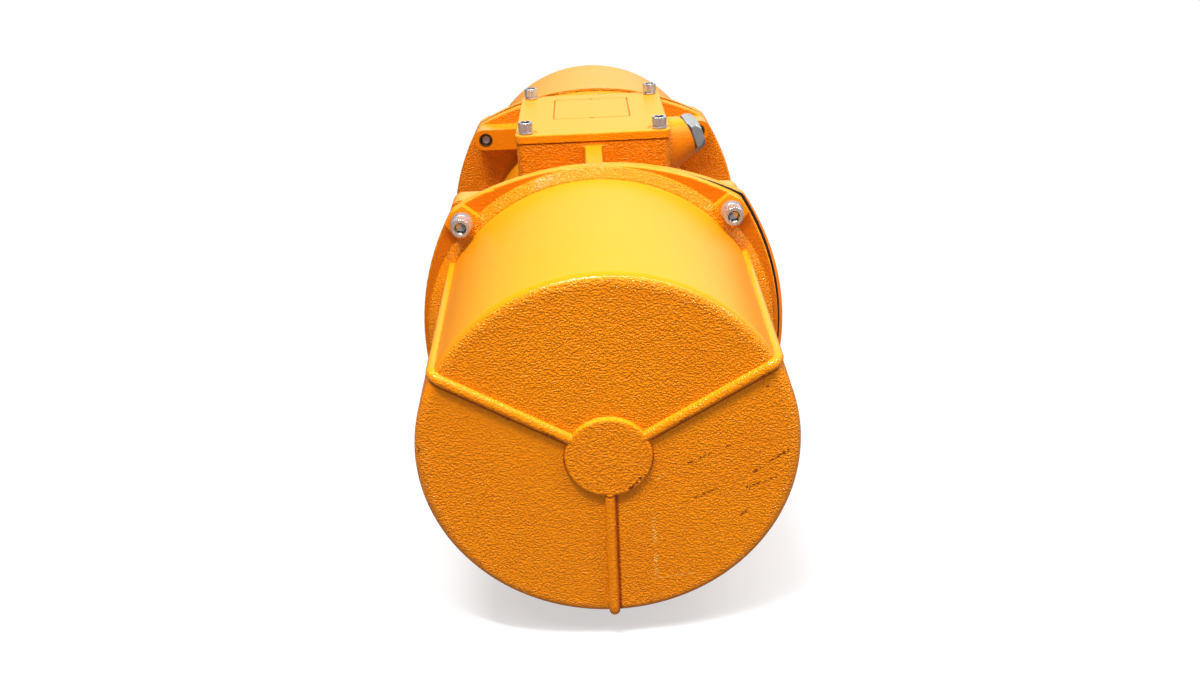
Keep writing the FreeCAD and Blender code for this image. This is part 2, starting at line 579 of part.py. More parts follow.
def box_web():
    """Upright web from the terminal box to a body flange, flared where it meets the box's wall."""
    bottom = BARREL_R - 20
    top = BODY_FLANGE_HALF_HEIGHT - WEB_DROP
    wide = WEB_HALF_T + WEB_FLARE
    inside = BOX_HALF_LENGTH - 2
    wall = BOX_HALF_LENGTH
    end = BODY_FLANGE_BACK + 1
    outline = [(-wide, inside), (wide, inside), (wide, wall), (WEB_HALF_T, wall), (WEB_HALF_T, end),
               (-WEB_HALF_T, end), (-WEB_HALF_T, wall), (-wide, wall)]
    corners = [V(x, y, bottom) for x, y in outline]
    wire = rounded_wire(corners, [0, 0, 0, WEB_FLARE, 0, 0, WEB_FLARE, 0])
    return Part.Face(wire).extrude(V(0, 0, top - bottom))


def box_cavity():
    """Inside of the terminal box: down to the barrel, with a pillar for each lid screw."""
    room = rounded_block(BOX_HALF_WIDTH - BOX_WALL, BOX_HALF_LENGTH - BOX_WALL, 0, BOX_TOP + 1, 4)
    floor = disc(STATOR_R + 9, -BOX_HALF_LENGTH, BOX_HALF_LENGTH)
    pillars = [Part.makeCylinder(PILLAR_R, BOX_TOP + 2, V(x, y, 0)) for x, y in lid_corners()]
    half_x, half_y = TERMINAL_BLOCK[0], TERMINAL_BLOCK[1] + 1
    table = block(-half_x, half_x, -half_y, half_y, 0, TERMINAL_BASE)
    return room.cut(floor.multiFuse(pillars + [table]))


def housing():
    barrel = disc(BARREL_R, -BODY_FLANGE_BACK - 1, BODY_FLANGE_BACK + 1)
    box = rounded_block(BOX_HALF_WIDTH, BOX_HALF_LENGTH, BARREL_R / 3, BOX_TOP, BOX_CORNER_R)
    parts = [barrel, box, entry_boss(), foot(1), foot(-1)]
    for shape in (bolt_bar(COVER_BOLT_Z), bolt_bar(-COVER_BOLT_Z), box_web()):
        parts += [shape, mirrored(shape)]
    rear_plate = body_flange_plate(BODY_FLANGE_BACK, SEAM_FROM_MIDDLE)
    rear_plate = rear_plate.makeFillet(FLANGE_EDGE_ROUND, edges_at(rear_plate, BODY_FLANGE_BACK))
    front_plate = mirrored(rear_plate)
    front_plate.translate(V(FRONT_FLANGE_SHIFT, 0, 0))
    parts += [rear_plate, front_plate]
    for y in CROSS_WEB_PLACES:
        parts.append(block(-BARREL_R + 4, BARREL_R - 4, y, y + CROSS_WEB_T, CROSS_WEB_LIFT - SHAFT_HEIGHT,
                           -BARREL_R / 2))
    body = fused(parts)
    body = body.cut(box_cavity())
    body = body.cut(disc(STATOR_R, -SEAM_FROM_MIDDLE - 1, SEAM_FROM_MIDDLE + 1))
    tools = [placed(Part.makeCylinder(ENTRY_THREAD_R + HOLE_CLEARANCE, 44, V(0, 0, -40)), ENTRY_RIM,
                    ENTRY_DIRECTION)]
    tools.append(Part.makeCylinder(WIRE_HOLE_R, BARREL_R, V(WIRE_HOLE[0], WIRE_HOLE[1], STATOR_R / 2)))
    for x, y in lid_corners():
        tools.append(Part.makeCylinder(M6_CAP["shank_r"] + HOLE_CLEARANCE, LID_SCREW_LENGTH,
                                       V(x, y, LID_SCREW_SEAT - LID_SCREW_LENGTH - 2)))
    for x in (-FOOT_BOLT_X, FOOT_BOLT_X):
        for y in (-FOOT_BOLT_Y, FOOT_BOLT_Y):
            tools.append(Part.makeCylinder(FOOT_HOLE_R, FOOT_T + 2, V(x, y, -SHAFT_HEIGHT - 1)))
            tools.append(Part.makeCylinder(FOOT_SPOT_R, 2, V(x, y, FOOT_TOP - FOOT_SPOT_DEPTH)))
    for x, y in terminal_fixing_places():
        tools.append(Part.makeCylinder(M5_CAP["shank_r"] + HOLE_CLEARANCE, TERMINAL_RISE - 2,
                                       V(x, y, STATOR_R + 4)))
    end_tools = [disc(SHIELD_R + HOLE_CLEARANCE, SHIELD_SEAT, SEAM_FROM_MIDDLE + 1)]
    for x, z in bolt_places():
        end_tools.append(disc(M8_CAP["shank_r"] + HOLE_CLEARANCE, BODY_FLANGE_BACK - BAR_DEPTH - 1,
                              SEAM_FROM_MIDDLE + 1, x, z))
    screw_hole = disc(M6_CAP["shank_r"] + HOLE_CLEARANCE, SHIELD_SEAT - 18, SHIELD_SEAT + 1, SHIELD_BOLT_R)
    end_tools += spaced(screw_hole, SHIELD_BOLTS, 30)
    tools += end_tools + [mirrored(tool) for tool in end_tools]
    return body.cut(tools)


# ---- terminal box fittings ---------------------------------------------------------------------------
def panel_block(grow, depth):
    return rounded_block(PANEL_HALF_WIDTH + grow, PANEL_HALF_LENGTH + grow, LID_TOP - depth, LID_TOP + 1,
                         PANEL_CORNER_R, y=PANEL_Y)


def lid():
    plate = rounded_block(BOX_HALF_WIDTH + LID_OVERHANG, BOX_HALF_LENGTH + LID_OVERHANG, LID_BOTTOM,
                          LID_TOP, BOX_CORNER_R)
    top_edges = [edge for edge in plate.Edges if edge.BoundBox.ZMin > LID_TOP - 0.1]
    plate = plate.makeFillet(LID_EDGE_ROUND, top_edges)
    tools = [panel_block(PANEL_LINE / 2, PANEL_LINE).cut(panel_block(-PANEL_LINE / 2, PANEL_LINE + 1))]
    for y in (PANEL_Y - PANEL_HALF_LENGTH, PANEL_Y + PANEL_HALF_LENGTH):
        tools.append(block(-PANEL_NOTCH, PANEL_NOTCH, y - PANEL_NOTCH, y + PANEL_NOTCH,
                           LID_TOP - PANEL_NOTCH, LID_TOP + 1))
    for x, y in lid_corners():
        tools.append(Part.makeCylinder(LID_SPOT_R, 2, V(x, y, LID_WASHER_SEAT)))
        tools.append(Part.makeCylinder(M6_CAP["shank_r"] + PASS_CLEARANCE, LID_T + 2,
                                       V(x, y, LID_BOTTOM - 1)))
    return plate.cut(tools)


def lid_gasket():
    sheet = rounded_block(BOX_HALF_WIDTH - LID_SEAL_INSET, BOX_HALF_LENGTH - LID_SEAL_INSET, BOX_TOP,
                          LID_BOTTOM, BOX_CORNER_R - 1)
    window = rounded_block(BOX_HALF_WIDTH - BOX_WALL, BOX_HALF_LENGTH - BOX_WALL, BOX_TOP - 1,
                           LID_BOTTOM + 1, BOX_CORNER_R - 1)
    ears = []
    holes = []
    for x, y in lid_corners():
        ears.append(Part.makeCylinder(PILLAR_R - 0.5, LID_SEAL_T + 4, V(x, y, BOX_TOP - 2)))
        holes.append(Part.makeCylinder(M6_CAP["shank_r"] + PASS_CLEARANCE, LID_SEAL_T + 2,
                                       V(x, y, BOX_TOP - 1)))
    return sheet.cut(window.cut(ears)).cut(holes)


def lid_screw_washers():
    washer = spring_washer(M6_CAP)
    return Part.makeCompound([placed(washer, (x, y, LID_WASHER_SEAT), (0, 0, 1))
                              for x, y in lid_corners()])


def lid_screws():
    screw = cap_screw(M6_CAP, LID_SCREW_LENGTH)
    return Part.makeCompound([placed(screw, (x, y, LID_SCREW_SEAT), (0, 0, 1)) for x, y in lid_corners()])


def cable_entry_plug():
    head = hexagon(PLUG_HEX, PLUG_HEAD_T, SEAL_T)
    head.rotate(ORIGIN, Z_AXIS, PLUG_TURN)
    crown = Part.makeCone(PLUG_HEX / 2 + 4.2, PLUG_HEX / 2 + 0.2, PLUG_HEAD_T, V(0, 0, SEAL_T))
    head = head.common(crown)
    shank = Part.makeCylinder(ENTRY_THREAD_R, ENTRY_THREAD_LENGTH + SEAL_T,
                              V(0, 0, -ENTRY_THREAD_LENGTH))
    return placed(head.fuse(shank), ENTRY_RIM, ENTRY_DIRECTION)


def cable_entry_seal():
    seal = Part.makeCylinder(PLUG_HEX / 2 + 0.5, SEAL_T)
    seal = seal.cut(Part.makeCylinder(ENTRY_THREAD_R + HOLE_CLEARANCE, SEAL_T))
    return placed(seal, ENTRY_RIM, ENTRY_DIRECTION)


def terminal_places():
    return [(x, y) for x in TERMINAL_COLUMNS for y in TERMINAL_ROWS]


def terminal_fixing_places():
    return [(-TERMINAL_FIXING_X, 0.0), (TERMINAL_FIXING_X, 0.0)]


def terminal_block():
    """Moulded block with a rib between neighbouring columns of studs."""
    half_x, half_y, thickness = TERMINAL_BLOCK
    base = rounded_block(half_x, half_y, TERMINAL_BASE, TERMINAL_TOP, 3)
    parts = [base]
    for left, right in zip(TERMINAL_COLUMNS, TERMINAL_COLUMNS[1:]):
        x = (left + right) / 2
        parts.append(block(x - 1, x + 1, 1 - half_y, half_y - 1, TERMINAL_TOP - 4,
                           TERMINAL_TOP + TERMINAL_RIB_H))
    through = thickness + 2
    tools = [Part.makeCylinder(STUD_R + HOLE_CLEARANCE, through, V(x, y, TERMINAL_BASE - 1))
             for x, y in terminal_places()]
    tools += [Part.makeCylinder(M5_CAP["shank_r"] + PASS_CLEARANCE, through, V(x, y, TERMINAL_BASE - 1))
              for x, y in terminal_fixing_places()]
    return fused(parts).cut(tools)


def terminal_studs():
    return Part.makeCompound([Part.makeCylinder(STUD_R, STUD_LENGTH, V(x, y, TERMINAL_BASE + 1))
                              for x, y in terminal_places()])


def terminal_nuts():
    nut = hexagon(NUT_ACROSS, NUT_T).cut(Part.makeCylinder(STUD_R + RUNNING_CLEARANCE, NUT_T + 1))
    return Part.makeCompound([placed(nut, (x, y, TERMINAL_TOP), (0, 0, 1)) for x, y in terminal_places()])


def terminal_block_screws():
    screw = cap_screw(M5_CAP, TERMINAL_BLOCK[2] + 8)
    return Part.makeCompound([placed(screw, (x, y, TERMINAL_TOP), (0, 0, 1))
                              for x, y in terminal_fixing_places()])


# ---- stator and rotor ------------------------------------------------------------------------------
def winding_bars(half_length):
    bar = block(SLOT_IN_R, SLOT_OUT_R, -half_length, half_length, -SLOT_HALF_WIDTH, SLOT_HALF_WIDTH)
    return spaced(bar, SLOTS)


def stator_core():
    core = ring(ROTOR_R + AIR_GAP, STATOR_R, -CORE_HALF_LENGTH, CORE_HALF_LENGTH)
    return core.cut(winding_bars(CORE_HALF_LENGTH + 1))


def stator_windings():
    bars = winding_bars(CORE_HALF_LENGTH + 4)
    start = CORE_HALF_LENGTH + WINDING_LIFT
    end = turned([(SLOT_IN_R - 1.5, start), (SLOT_OUT_R + 1, start), (SLOT_OUT_R + 4, start + 5),
                  (SLOT_OUT_R + 4, start + END_TURN - 6), (SLOT_OUT_R, start + END_TURN),
                  (SLOT_IN_R + 5, start + END_TURN), (SLOT_IN_R - 1.5, start + END_TURN - 6)])
    return fused([end, mirrored(end)] + bars)


def cage_bars(half_length):
    return spaced(disc(CAGE_BAR_R, -half_length, half_length, CAGE_RADIUS), SLOTS)


def rotor_core():
    core = ring(ROTOR_SEAT_R, ROTOR_R, -CORE_HALF_LENGTH, CORE_HALF_LENGTH)
    return core.cut(cage_bars(CORE_HALF_LENGTH + 1))


def rotor_cage():
    outer_r = ROTOR_R - AIR_GAP
    end = ring(outer_r - CAGE_END_H, outer_r, CORE_HALF_LENGTH, CORE_HALF_LENGTH + CAGE_END_T)
    return fused([end, mirrored(end)] + cage_bars(CORE_HALF_LENGTH + 2))


def shaft():
    half = [(ROTOR_SEAT_R, BEARING_START), (BEARING_BORE_R, BEARING_START), (BEARING_BORE_R, WEIGHT_START),
            (WEIGHT_SEAT_R, WEIGHT_START), (WEIGHT_SEAT_R, SHAFT_END - SHAFT_CHAMFER),
            (WEIGHT_SEAT_R - SHAFT_CHAMFER, SHAFT_END)]
    points = [(0, -SHAFT_END)] + [(r, -s) for r, s in reversed(half)] + half + [(0, SHAFT_END)]
    body = turned(points)
    key_slot = weight_key()
    groove = retaining_groove()
    return body.cut([key_slot, mirrored(key_slot), groove, mirrored(groove)])


def retaining_groove():
    return ring(GROOVE_R, WEIGHT_SEAT_R + 2, RETAINING_RING_START, RETAINING_RING_START + RETAINING_RING_T)


def weight_key():
    """Key on the upper side of the shaft, sunk in its slot by a little over half."""
    return block(-KEY_WIDTH / 2, KEY_WIDTH / 2, WEIGHT_START + KEY_END, WEIGHT_START + WEIGHT_T - KEY_END,
                 KEY_BOTTOM, KEY_BOTTOM + KEY_HEIGHT)


def weight_profile(radius, keyed):
    """Unbalance weight: a heavy half disc below a split clamping hub."""
    lobe = disc(radius, 0, WEIGHT_T).common(block(-radius, radius, 0, WEIGHT_T, -radius, 0))
    shoulder = block(radius - LOBE_SHOULDER, radius + 1, -1, WEIGHT_T + 1, -LOBE_SHOULDER_DROP, 1)
    lobe = lobe.cut([shoulder, shoulder.mirror(ORIGIN, V(1, 0, 0))])
    hub = disc(WEIGHT_HUB_R, 0, WEIGHT_T)
    clamp_top = WEIGHT_HUB_R + CLAMP_RISE
    clamp = block(-CLAMP_HALF_WIDTH, CLAMP_HALF_WIDTH, 0, WEIGHT_T, 0, clamp_top)
    tools = [disc(WEIGHT_SEAT_R + RUNNING_CLEARANCE, -1, WEIGHT_T + 1)]
    tools.append(block(-WEIGHT_SLIT / 2, WEIGHT_SLIT / 2, -1, WEIGHT_T + 1, 0, clamp_top + 1))
    if keyed:
        tools.append(block(-KEY_WIDTH / 2, KEY_WIDTH / 2, -1, WEIGHT_T + 1, 0,
                           KEY_BOTTOM + KEY_HEIGHT + HOLE_CLEARANCE))
    tools.append(Part.makeCylinder(M10_CAP["shank_r"] + HOLE_CLEARANCE, 2 * CLAMP_HALF_WIDTH + 2,
                                   V(-CLAMP_HALF_WIDTH - 1, WEIGHT_T / 2, CLAMP_SCREW_R), V(1, 0, 0)))
    return fused([lobe, hub, clamp]).cut(tools)


def fixed_weight():
    body = weight_profile(FIXED_WEIGHT_R, True)
    body.translate(V(0, WEIGHT_START, 0))
    return body


def adjustable_weight():
    body = weight_profile(ADJUSTABLE_WEIGHT_R, False)
    body.translate(V(0, ADJUSTABLE_START, 0))
    return body


def clamp_screw(start):
    screw = cap_screw(M10_CAP, CLAMP_SCREW_LENGTH)
    return placed(screw, (CLAMP_HALF_WIDTH, start + WEIGHT_T / 2, CLAMP_SCREW_R), (1, 0, 0))


def weight_spacer():
    return ring(BEARING_BORE_R, RACE_IN_R - 1, BEARING_END, WEIGHT_START)


def end_washer():
    return ring(WEIGHT_SEAT_R + RUNNING_CLEARANCE, WEIGHT_SEAT_R + END_WASHER_WIDTH, END_WASHER_START,
                RETAINING_RING_START)


def retaining_ring():
    start = RETAINING_RING_START
    end = start + RETAINING_RING_T
    outer_r = WEIGHT_SEAT_R + RETAINING_RING_RISE
    opening = block(-RETAINING_RING_GAP / 2, RETAINING_RING_GAP / 2, start - 1, end + 1, 0, outer_r + 1)
    return ring(GROOVE_R, outer_r, start, end).cut(opening)


# ---- bearings and their shields ------------------------------------------------------------------------
def bearing_shield():
    """End plate that carries the bearing: rim in the flange, spigot in the bore, hub round the bearing."""
    spigot_r = STATOR_R - RUNNING_CLEARANCE
    spigot_start = SHIELD_SEAT - SPIGOT_LENGTH
    outer_face = SHIELD_SEAT + SHIELD_T
    body = turned([(BEARING_OUTER_R, HUB_START), (HUB_R, HUB_START), (HUB_R, SHIELD_SEAT - 4),
                   (STATOR_R - SPIGOT_T, spigot_start), (spigot_r, spigot_start), (spigot_r, SHIELD_SEAT),
                   (SHIELD_R, SHIELD_SEAT), (SHIELD_R, outer_face), (HUB_R + 2, outer_face),
                   (HUB_R, BEARING_END), (BEARING_OUTER_R, BEARING_END)])
    lip = ring(ROTOR_SEAT_R + 6, BEARING_OUTER_R + 1, HUB_START, BEARING_START)
    body = body.fuse(lip)
    screw_hole = disc(M6_CAP["shank_r"] + PASS_CLEARANCE, SHIELD_SEAT - 1, outer_face + 1, SHIELD_BOLT_R)
    cap_hole = disc(M5_CAP["shank_r"] + HOLE_CLEARANCE, BEARING_END - 16, BEARING_END + 1, CAP_BOLT_R)
    return body.cut(spaced(screw_hole, SHIELD_BOLTS, 30) + spaced(cap_hole, CAP_BOLTS, 45))


def bearing_shield_screws():
    seat = SHIELD_SEAT + SHIELD_T
    screw = placed(cap_screw(M6_CAP, SHIELD_T + 15), (SHIELD_BOLT_R, seat, 0), (0, 1, 0))
    return Part.makeCompound(spaced(screw, SHIELD_BOLTS, 30))


def bearing_outer_ring():
    """Outer race with a lip on each side that keeps the rollers in."""
    body = ring(RACE_OUT_R, BEARING_OUTER_R, BEARING_START, BEARING_END)
    lip_r = RACE_OUT_R - RACE_LIP_H
    lips = [ring(lip_r, RACE_OUT_R + 1, BEARING_START, BEARING_START + RACE_LIP_T),
            ring(lip_r, RACE_OUT_R + 1, BEARING_END - RACE_LIP_T, BEARING_END)]
    return fused([body] + lips)


def bearing_inner_ring():
    return ring(BEARING_BORE_R, RACE_IN_R, BEARING_START, BEARING_END)


def bearing_rollers():
    roller = disc(ROLLER_R, ROLLER_START, ROLLER_END, PITCH_R)
    return Part.makeCompound(spaced(roller, ROLLER_COUNT))


def bearing_cage():
    inner_end = ROLLER_START - FACE_GAP
    outer_end = ROLLER_END + FACE_GAP
    body = ring(PITCH_R - CAGE_HALF_T, PITCH_R + CAGE_HALF_T, inner_end - CAGE_RIM, outer_end + CAGE_RIM)
    pocket = disc(ROLLER_R + POCKET_CLEARANCE, inner_end, outer_end, PITCH_R)
    return body.cut(spaced(pocket, ROLLER_COUNT))


def bearing_cap():
    body = turned([(RACE_IN_R + 1, BEARING_END), (CAP_R, BEARING_END), (CAP_R, CAP_END - CAP_CHAMFER),
                   (CAP_R - CAP_CHAMFER, CAP_END), (RACE_IN_R + 1, CAP_END)])
    hole = disc(M5_CAP["shank_r"] + PASS_CLEARANCE, BEARING_END - 1, CAP_END + 1, CAP_BOLT_R)
    return body.cut(spaced(hole, CAP_BOLTS, 45))


def bearing_cap_screws():
    screw = placed(cap_screw(M5_CAP, CAP_T + 12), (CAP_BOLT_R, CAP_END, 0), (0, 1, 0))
    return Part.makeCompound(spaced(screw, CAP_BOLTS, 45))


# ---- assembly --------------------------------------------------------------------------------------------
def middle_pieces():
    return {
        "housing": housing(),
        "terminal_box_lid": lid(),
        "terminal_box_gasket": lid_gasket(),
        "lid_screws": lid_screws(),
        "lid_screw_washers": lid_screw_washers(),
        "cable_entry_plug": cable_entry_plug(),
        "cable_entry_seal": cable_entry_seal(),
        "terminal_block": terminal_block(),
        "terminal_studs": terminal_studs(),
        "terminal_nuts": terminal_nuts(),
        "terminal_block_screws": terminal_block_screws(),
        "stator_core": stator_core(),
        "stator_windings": stator_windings(),
        "rotor_core": rotor_core(),
        "rotor_cage": rotor_cage(),
        "shaft": shaft(),
    }


def end_pieces():
    return {
        "cover": cover(),
        "cover_gasket": cover_gasket(0.0),
        "cover_screws": cover_screws(),
        "cover_screw_washers": cover_screw_washers(),
        "bearing_shield": bearing_shield(),
        "bearing_shield_screws": bearing_shield_screws(),
        "bearing_outer_ring": bearing_outer_ring(),
        "bearing_inner_ring": bearing_inner_ring(),
        "bearing_rollers": bearing_rollers(),
        "bearing_cage": bearing_cage(),
        "bearing_cap": bearing_cap(),
        "bearing_cap_screws": bearing_cap_screws(),
        "weight_spacer": weight_spacer(),
        "weight_key": weight_key(),
        "fixed_weight": fixed_weight(),
        "fixed_weight_screw": clamp_screw(WEIGHT_START),
        "adjustable_weight": adjustable_weight(),
        "adjustable_weight_screw": clamp_screw(ADJUSTABLE_START),
        "shaft_end_washer": end_washer(),
        "retaining_ring": retaining_ring(),
    }


def main():
    pieces = middle_pieces()
    for name, shape in end_pieces().items():
        pieces["rear_" + name] = shape
        pieces["front_" + name] = mirrored(shape)
    pieces["front_cover_gasket"] = mirrored(cover_gasket(FRONT_FLANGE_SHIFT))
    os.makedirs("parts", exist_ok=True)
    for name, shape in pieces.items():
        lifted = shape.copy()
        lifted.translate(V(0, 0, SHAFT_HEIGHT))
        lifted.exportStep("parts/" + name + ".step")
        box = lifted.BoundBox
        print("%-30s solids %2d valid %s volume %9.0f  z %.1f to %.1f" %
              (name, len(lifted.Solids), lifted.isValid(), lifted.Volume, box.ZMin, box.ZMax))


main()
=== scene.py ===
import functools
import math

import bmesh
import bpy
from mathutils import Matrix, Vector


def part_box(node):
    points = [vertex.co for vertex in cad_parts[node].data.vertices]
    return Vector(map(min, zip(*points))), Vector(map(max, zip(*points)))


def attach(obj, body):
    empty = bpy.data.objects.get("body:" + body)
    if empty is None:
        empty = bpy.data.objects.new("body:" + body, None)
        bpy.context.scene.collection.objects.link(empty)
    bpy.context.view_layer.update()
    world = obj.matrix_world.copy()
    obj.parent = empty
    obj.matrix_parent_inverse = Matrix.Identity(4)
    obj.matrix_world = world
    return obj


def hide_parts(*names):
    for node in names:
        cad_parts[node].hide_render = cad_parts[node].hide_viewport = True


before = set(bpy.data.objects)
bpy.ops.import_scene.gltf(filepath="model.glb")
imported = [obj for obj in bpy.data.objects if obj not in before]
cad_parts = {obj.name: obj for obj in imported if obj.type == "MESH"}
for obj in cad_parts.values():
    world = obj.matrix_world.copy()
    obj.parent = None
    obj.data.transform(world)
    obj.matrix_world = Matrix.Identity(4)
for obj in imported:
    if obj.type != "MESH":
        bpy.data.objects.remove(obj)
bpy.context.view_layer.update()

# Unbalance vibration motor: orange textured castings, zinc hardware, rubber gaskets.
# Metres, +Y along the shaft from front to rear, +Z up.

BODY = "motor_frame"
ENDS = ("front", "rear")

# ---- standard hardware ---------------------------------------------------------------------------
M8 = {"head_r": 0.0065, "head_h": 0.008, "shank_r": 0.004, "socket": 0.006, "pitch": 0.00125}
M6 = {"head_r": 0.0050, "head_h": 0.006, "shank_r": 0.003, "socket": 0.005, "pitch": 0.001}
COVER_THREAD_LENGTH = 0.022
LID_THREAD_LENGTH = 0.014
KNURLS = 26                         # grooves round a screw's head
PLAIN_WASHER_T = 0.0016
SPRING_WASHER_T = 0.0022
WASHER_PLAY = 0.0001                # from a washer's bore to its screw, and from its rim to the head's
SEAL_T = 0.0012
PLUG = {"across": 0.027, "head_t": 0.0085, "thread_r": 0.0125, "thread_length": 0.012, "turn": 25.0}
ENTRY_DIRECTION = Vector((0.896, 0.338, 0.287)).normalized()

# ---- places on the castings ----------------------------------------------------------------------
shaft_low, shaft_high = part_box("shaft")
SHAFT_Z = (shaft_low.z + shaft_high.z) / 2
LID_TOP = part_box("terminal_box_lid")[1].z
PANEL_Y = 0.014                     # middle of the panel framed on the lid
PANEL_HALF_WIDTH = 0.0292           # just outside the panel's grooves and notches
PANEL_HALF_LENGTH = 0.0327
BOX_SIDE = 0.0575                   # clear of the terminal box's side walls

cover_low, cover_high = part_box("front_cover")
DISC_R = 0.0237                     # raised disc in the middle of a cover's face
BEAD_R = 0.0032                     # half-round beads from the disc to the flange
BEAD_ANGLES = (30.0, 150.0, 270.0)
RIM_R = 0.0975                      # just inside the rounding of a cover's face
RING_R = 0.1090                     # just inside the sloping ring at a cover's base
SKIRT_R = 0.1172                    # outside of that ring
FACE_Y = -cover_low.y - BEAD_R      # middle of the motor to a cover's face, where the beads start
SEAM_Y = -cover_high.y              # to the joint between cover and housing
FLANGE_Y = SEAM_Y + 0.006           # to the front of a cover's flange
BARS_Y = 0.104                      # to just behind the housing's flanges, where the bolt bars are
FLANGE_HALF_WIDTH = (cover_high.x - cover_low.x) / 2
FLANGE_HALF_HEIGHT = (cover_high.z - cover_low.z) / 2
FLANGE_CORNER_R = 0.0095
screws_low, screws_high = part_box("front_cover_screws")
BOLT_X = (screws_high.x - screws_low.x) / 2 - M8["head_r"]
BOLT_Z = (screws_high.z - screws_low.z) / 2 - M8["head_r"]


# ---- shader kit ----------------------------------------------------------------------------------
class Value:
    """A shader number that takes part in Python expressions."""

    def __init__(self, nodes, socket):
        self.nodes = nodes
        self.socket = socket

    def join(self, operation, other, swap=False, clamp=False):
        first, second = (other, self) if swap else (self, other)
        settings = {"operation": operation, "use_clamp": clamp}
        return self.nodes.node("Math", settings, {0: first, 1: second})

    def __add__(self, other):
        return self.join("ADD", other)

    __radd__ = __add__

    def __sub__(self, other):
        return self.join("SUBTRACT", other)

    def __rsub__(self, other):
        return self.join("SUBTRACT", other, swap=True)

    def __mul__(self, other):
        return self.join("MULTIPLY", other)

    __rmul__ = __mul__

    def __truediv__(self, other):
        return self.join("DIVIDE", other)

    def __pow__(self, other):
        return self.join("POWER", other)

    def abs(self):
        return self.join("ABSOLUTE", 0.0)

    def clamp(self):
        return self.join("ADD", 0.0, clamp=True)

    def maximum(self, other):
        return self.join("MAXIMUM", other)

    def rise(self, low, high):
        """0 below low, 1 above high, smooth between; low may be over high."""
        settings = {"interpolation_type": "SMOOTHSTEP"}
        sockets = {"Value": self, "From Min": low, "From Max": high}
        if low > high:
            sockets = {"Value": self, "From Min": high, "From Max": low, "To Min": 1.0, "To Max": 0.0}
        return self.nodes.node("MapRange", settings, sockets)


class Nodes:
    """A node tree and the calls that add to it."""

    def __init__(self, tree):
        self.tree = tree

    def put(self, socket, value):
        """Gives a socket a number, a colour or a link."""
        if isinstance(value, Value):
            value = value.socket
        if isinstance(value, bpy.types.NodeSocket):
            self.tree.links.new(value, socket)
        else:
            socket.default_value = value

    def node(self, kind, settings, sockets, out=0):
        """Adds a node: its settings first, then the values or links of its sockets."""
        made = self.tree.nodes.new("ShaderNode" + kind)
        for key, value in settings.items():
            setattr(made, key, value)
        for key, value in sockets.items():
            self.put(made.inputs[key], value)
        return Value(self, made.outputs[out])

    def split(self, vector):
        """The x, y and z of a vector."""
        made = self.node("SeparateXYZ", {}, {0: vector})
        return [Value(self, out) for out in made.socket.node.outputs]

    def ray(self, kind):
        """1 on rays of one kind, such as Camera or Glossy, and 0 on the rest."""
        return self.node("LightPath", {}, {}, out="Is " + kind + " Ray")


class Finish(Nodes):
    """One material and the calls that put nodes into it."""

    def __init__(self, name):
        self.material = bpy.data.materials.new(name)
        self.material.use_nodes = True
        super().__init__(self.material.node_tree)
        self.shader = next(n for n in self.tree.nodes if n.type == "BSDF_PRINCIPLED")
        self.place = self.node("TexCoord", {}, {}, out="Object").socket
        self.x, self.y, self.z = self.split(self.place)
        facing = self.split(self.node("TexCoord", {}, {}, out="Normal"))
        self.front = facing[1] * -1
        self.up = facing[2]

    def noise(self, scale, detail=2.0, roughness=0.5, distortion=0.0, place=None):
        sockets = {"Vector": place or self.place, "Scale": scale, "Detail": detail,
                   "Roughness": roughness, "Distortion": distortion}
        return self.node("TexNoise", {}, sockets)

    def stretched(self, factors):
        """The surface's place scaled by an amount per axis."""
        made = self.node("Mapping", {"vector_type": "POINT"}, {"Vector": self.place, "Scale": factors})
        return made.socket

    def bands(self, axis, profile, sockets):
        """Parallel bands across one axis."""
        settings = {"wave_type": "BANDS", "bands_direction": axis, "wave_profile": profile}
        return self.node("TexWave", settings, {"Vector": self.place, **sockets})

    def mix(self, amount, first, second):
        """Colour from first to second by an amount from 0 to 1."""
        first, second = [(*c, 1.0) if isinstance(c, tuple) else c for c in (first, second)]
        return self.node("Mix", {"data_type": "RGBA"}, {0: amount, 6: first, 7: second}, out=2)

    def bump(self, height, distance, under=None):
        sockets = {"Height": height, "Distance": distance}
        if under is not None:
            sockets["Normal"] = under
        return self.node("Bump", {}, sockets)

    def surface(self, sockets):
        """Feeds the shader's sockets and gives the finished material."""
        for key, value in sockets.items():
            self.put(self.shader.inputs[key], value)
        return self.material


def shaded(colour, share):
    """A colour darkened to a share of itself."""
    return tuple(c * share for c in colour)


# ---- masks on the castings -----------------------------------------------------------------------
def any_of(masks):
    """Strongest of several masks."""
    return functools.reduce(Value.maximum, masks)


@functools.cache
def from_shaft(f):
    """Distance from the shaft line."""
    up = f.z - SHAFT_Z
    return (f.x * f.x + up * up) ** 0.5


@functools.cache
def beside_bead(f, angle):
    """Signed distance from a bead's middle, and a mask of the bead's half of the face.

    The distance is positive above a bead, and left of the upright one.
    """
    c = math.cos(math.radians(angle))
    s = math.sin(math.radians(angle))
    up = f.z - SHAFT_Z
    along = f.x * c + up * s
    upward = 1 if c >= 0 else -1
    off = (up * c - f.x * s) * upward
    return off, along.rise(0.0, 0.004)


@functools.cache
def near_face(f):
    """Closed end of a cover."""
    return f.y.abs().rise(FACE_Y - 0.003, FACE_Y - 0.001)


def on_front_face(f):
    return f.y.rise(-FACE_Y + 0.003, -FACE_Y + 0.001)


@functools.cache
def outside_disc(f):
    return from_shaft(f).rise(DISC_R, DISC_R + 0.001)


def before_flange(f):
    """The part of a cover that stands out from its flange."""
    return f.y.abs().rise(FLANGE_Y + 0.006, FLANGE_Y + 0.008)


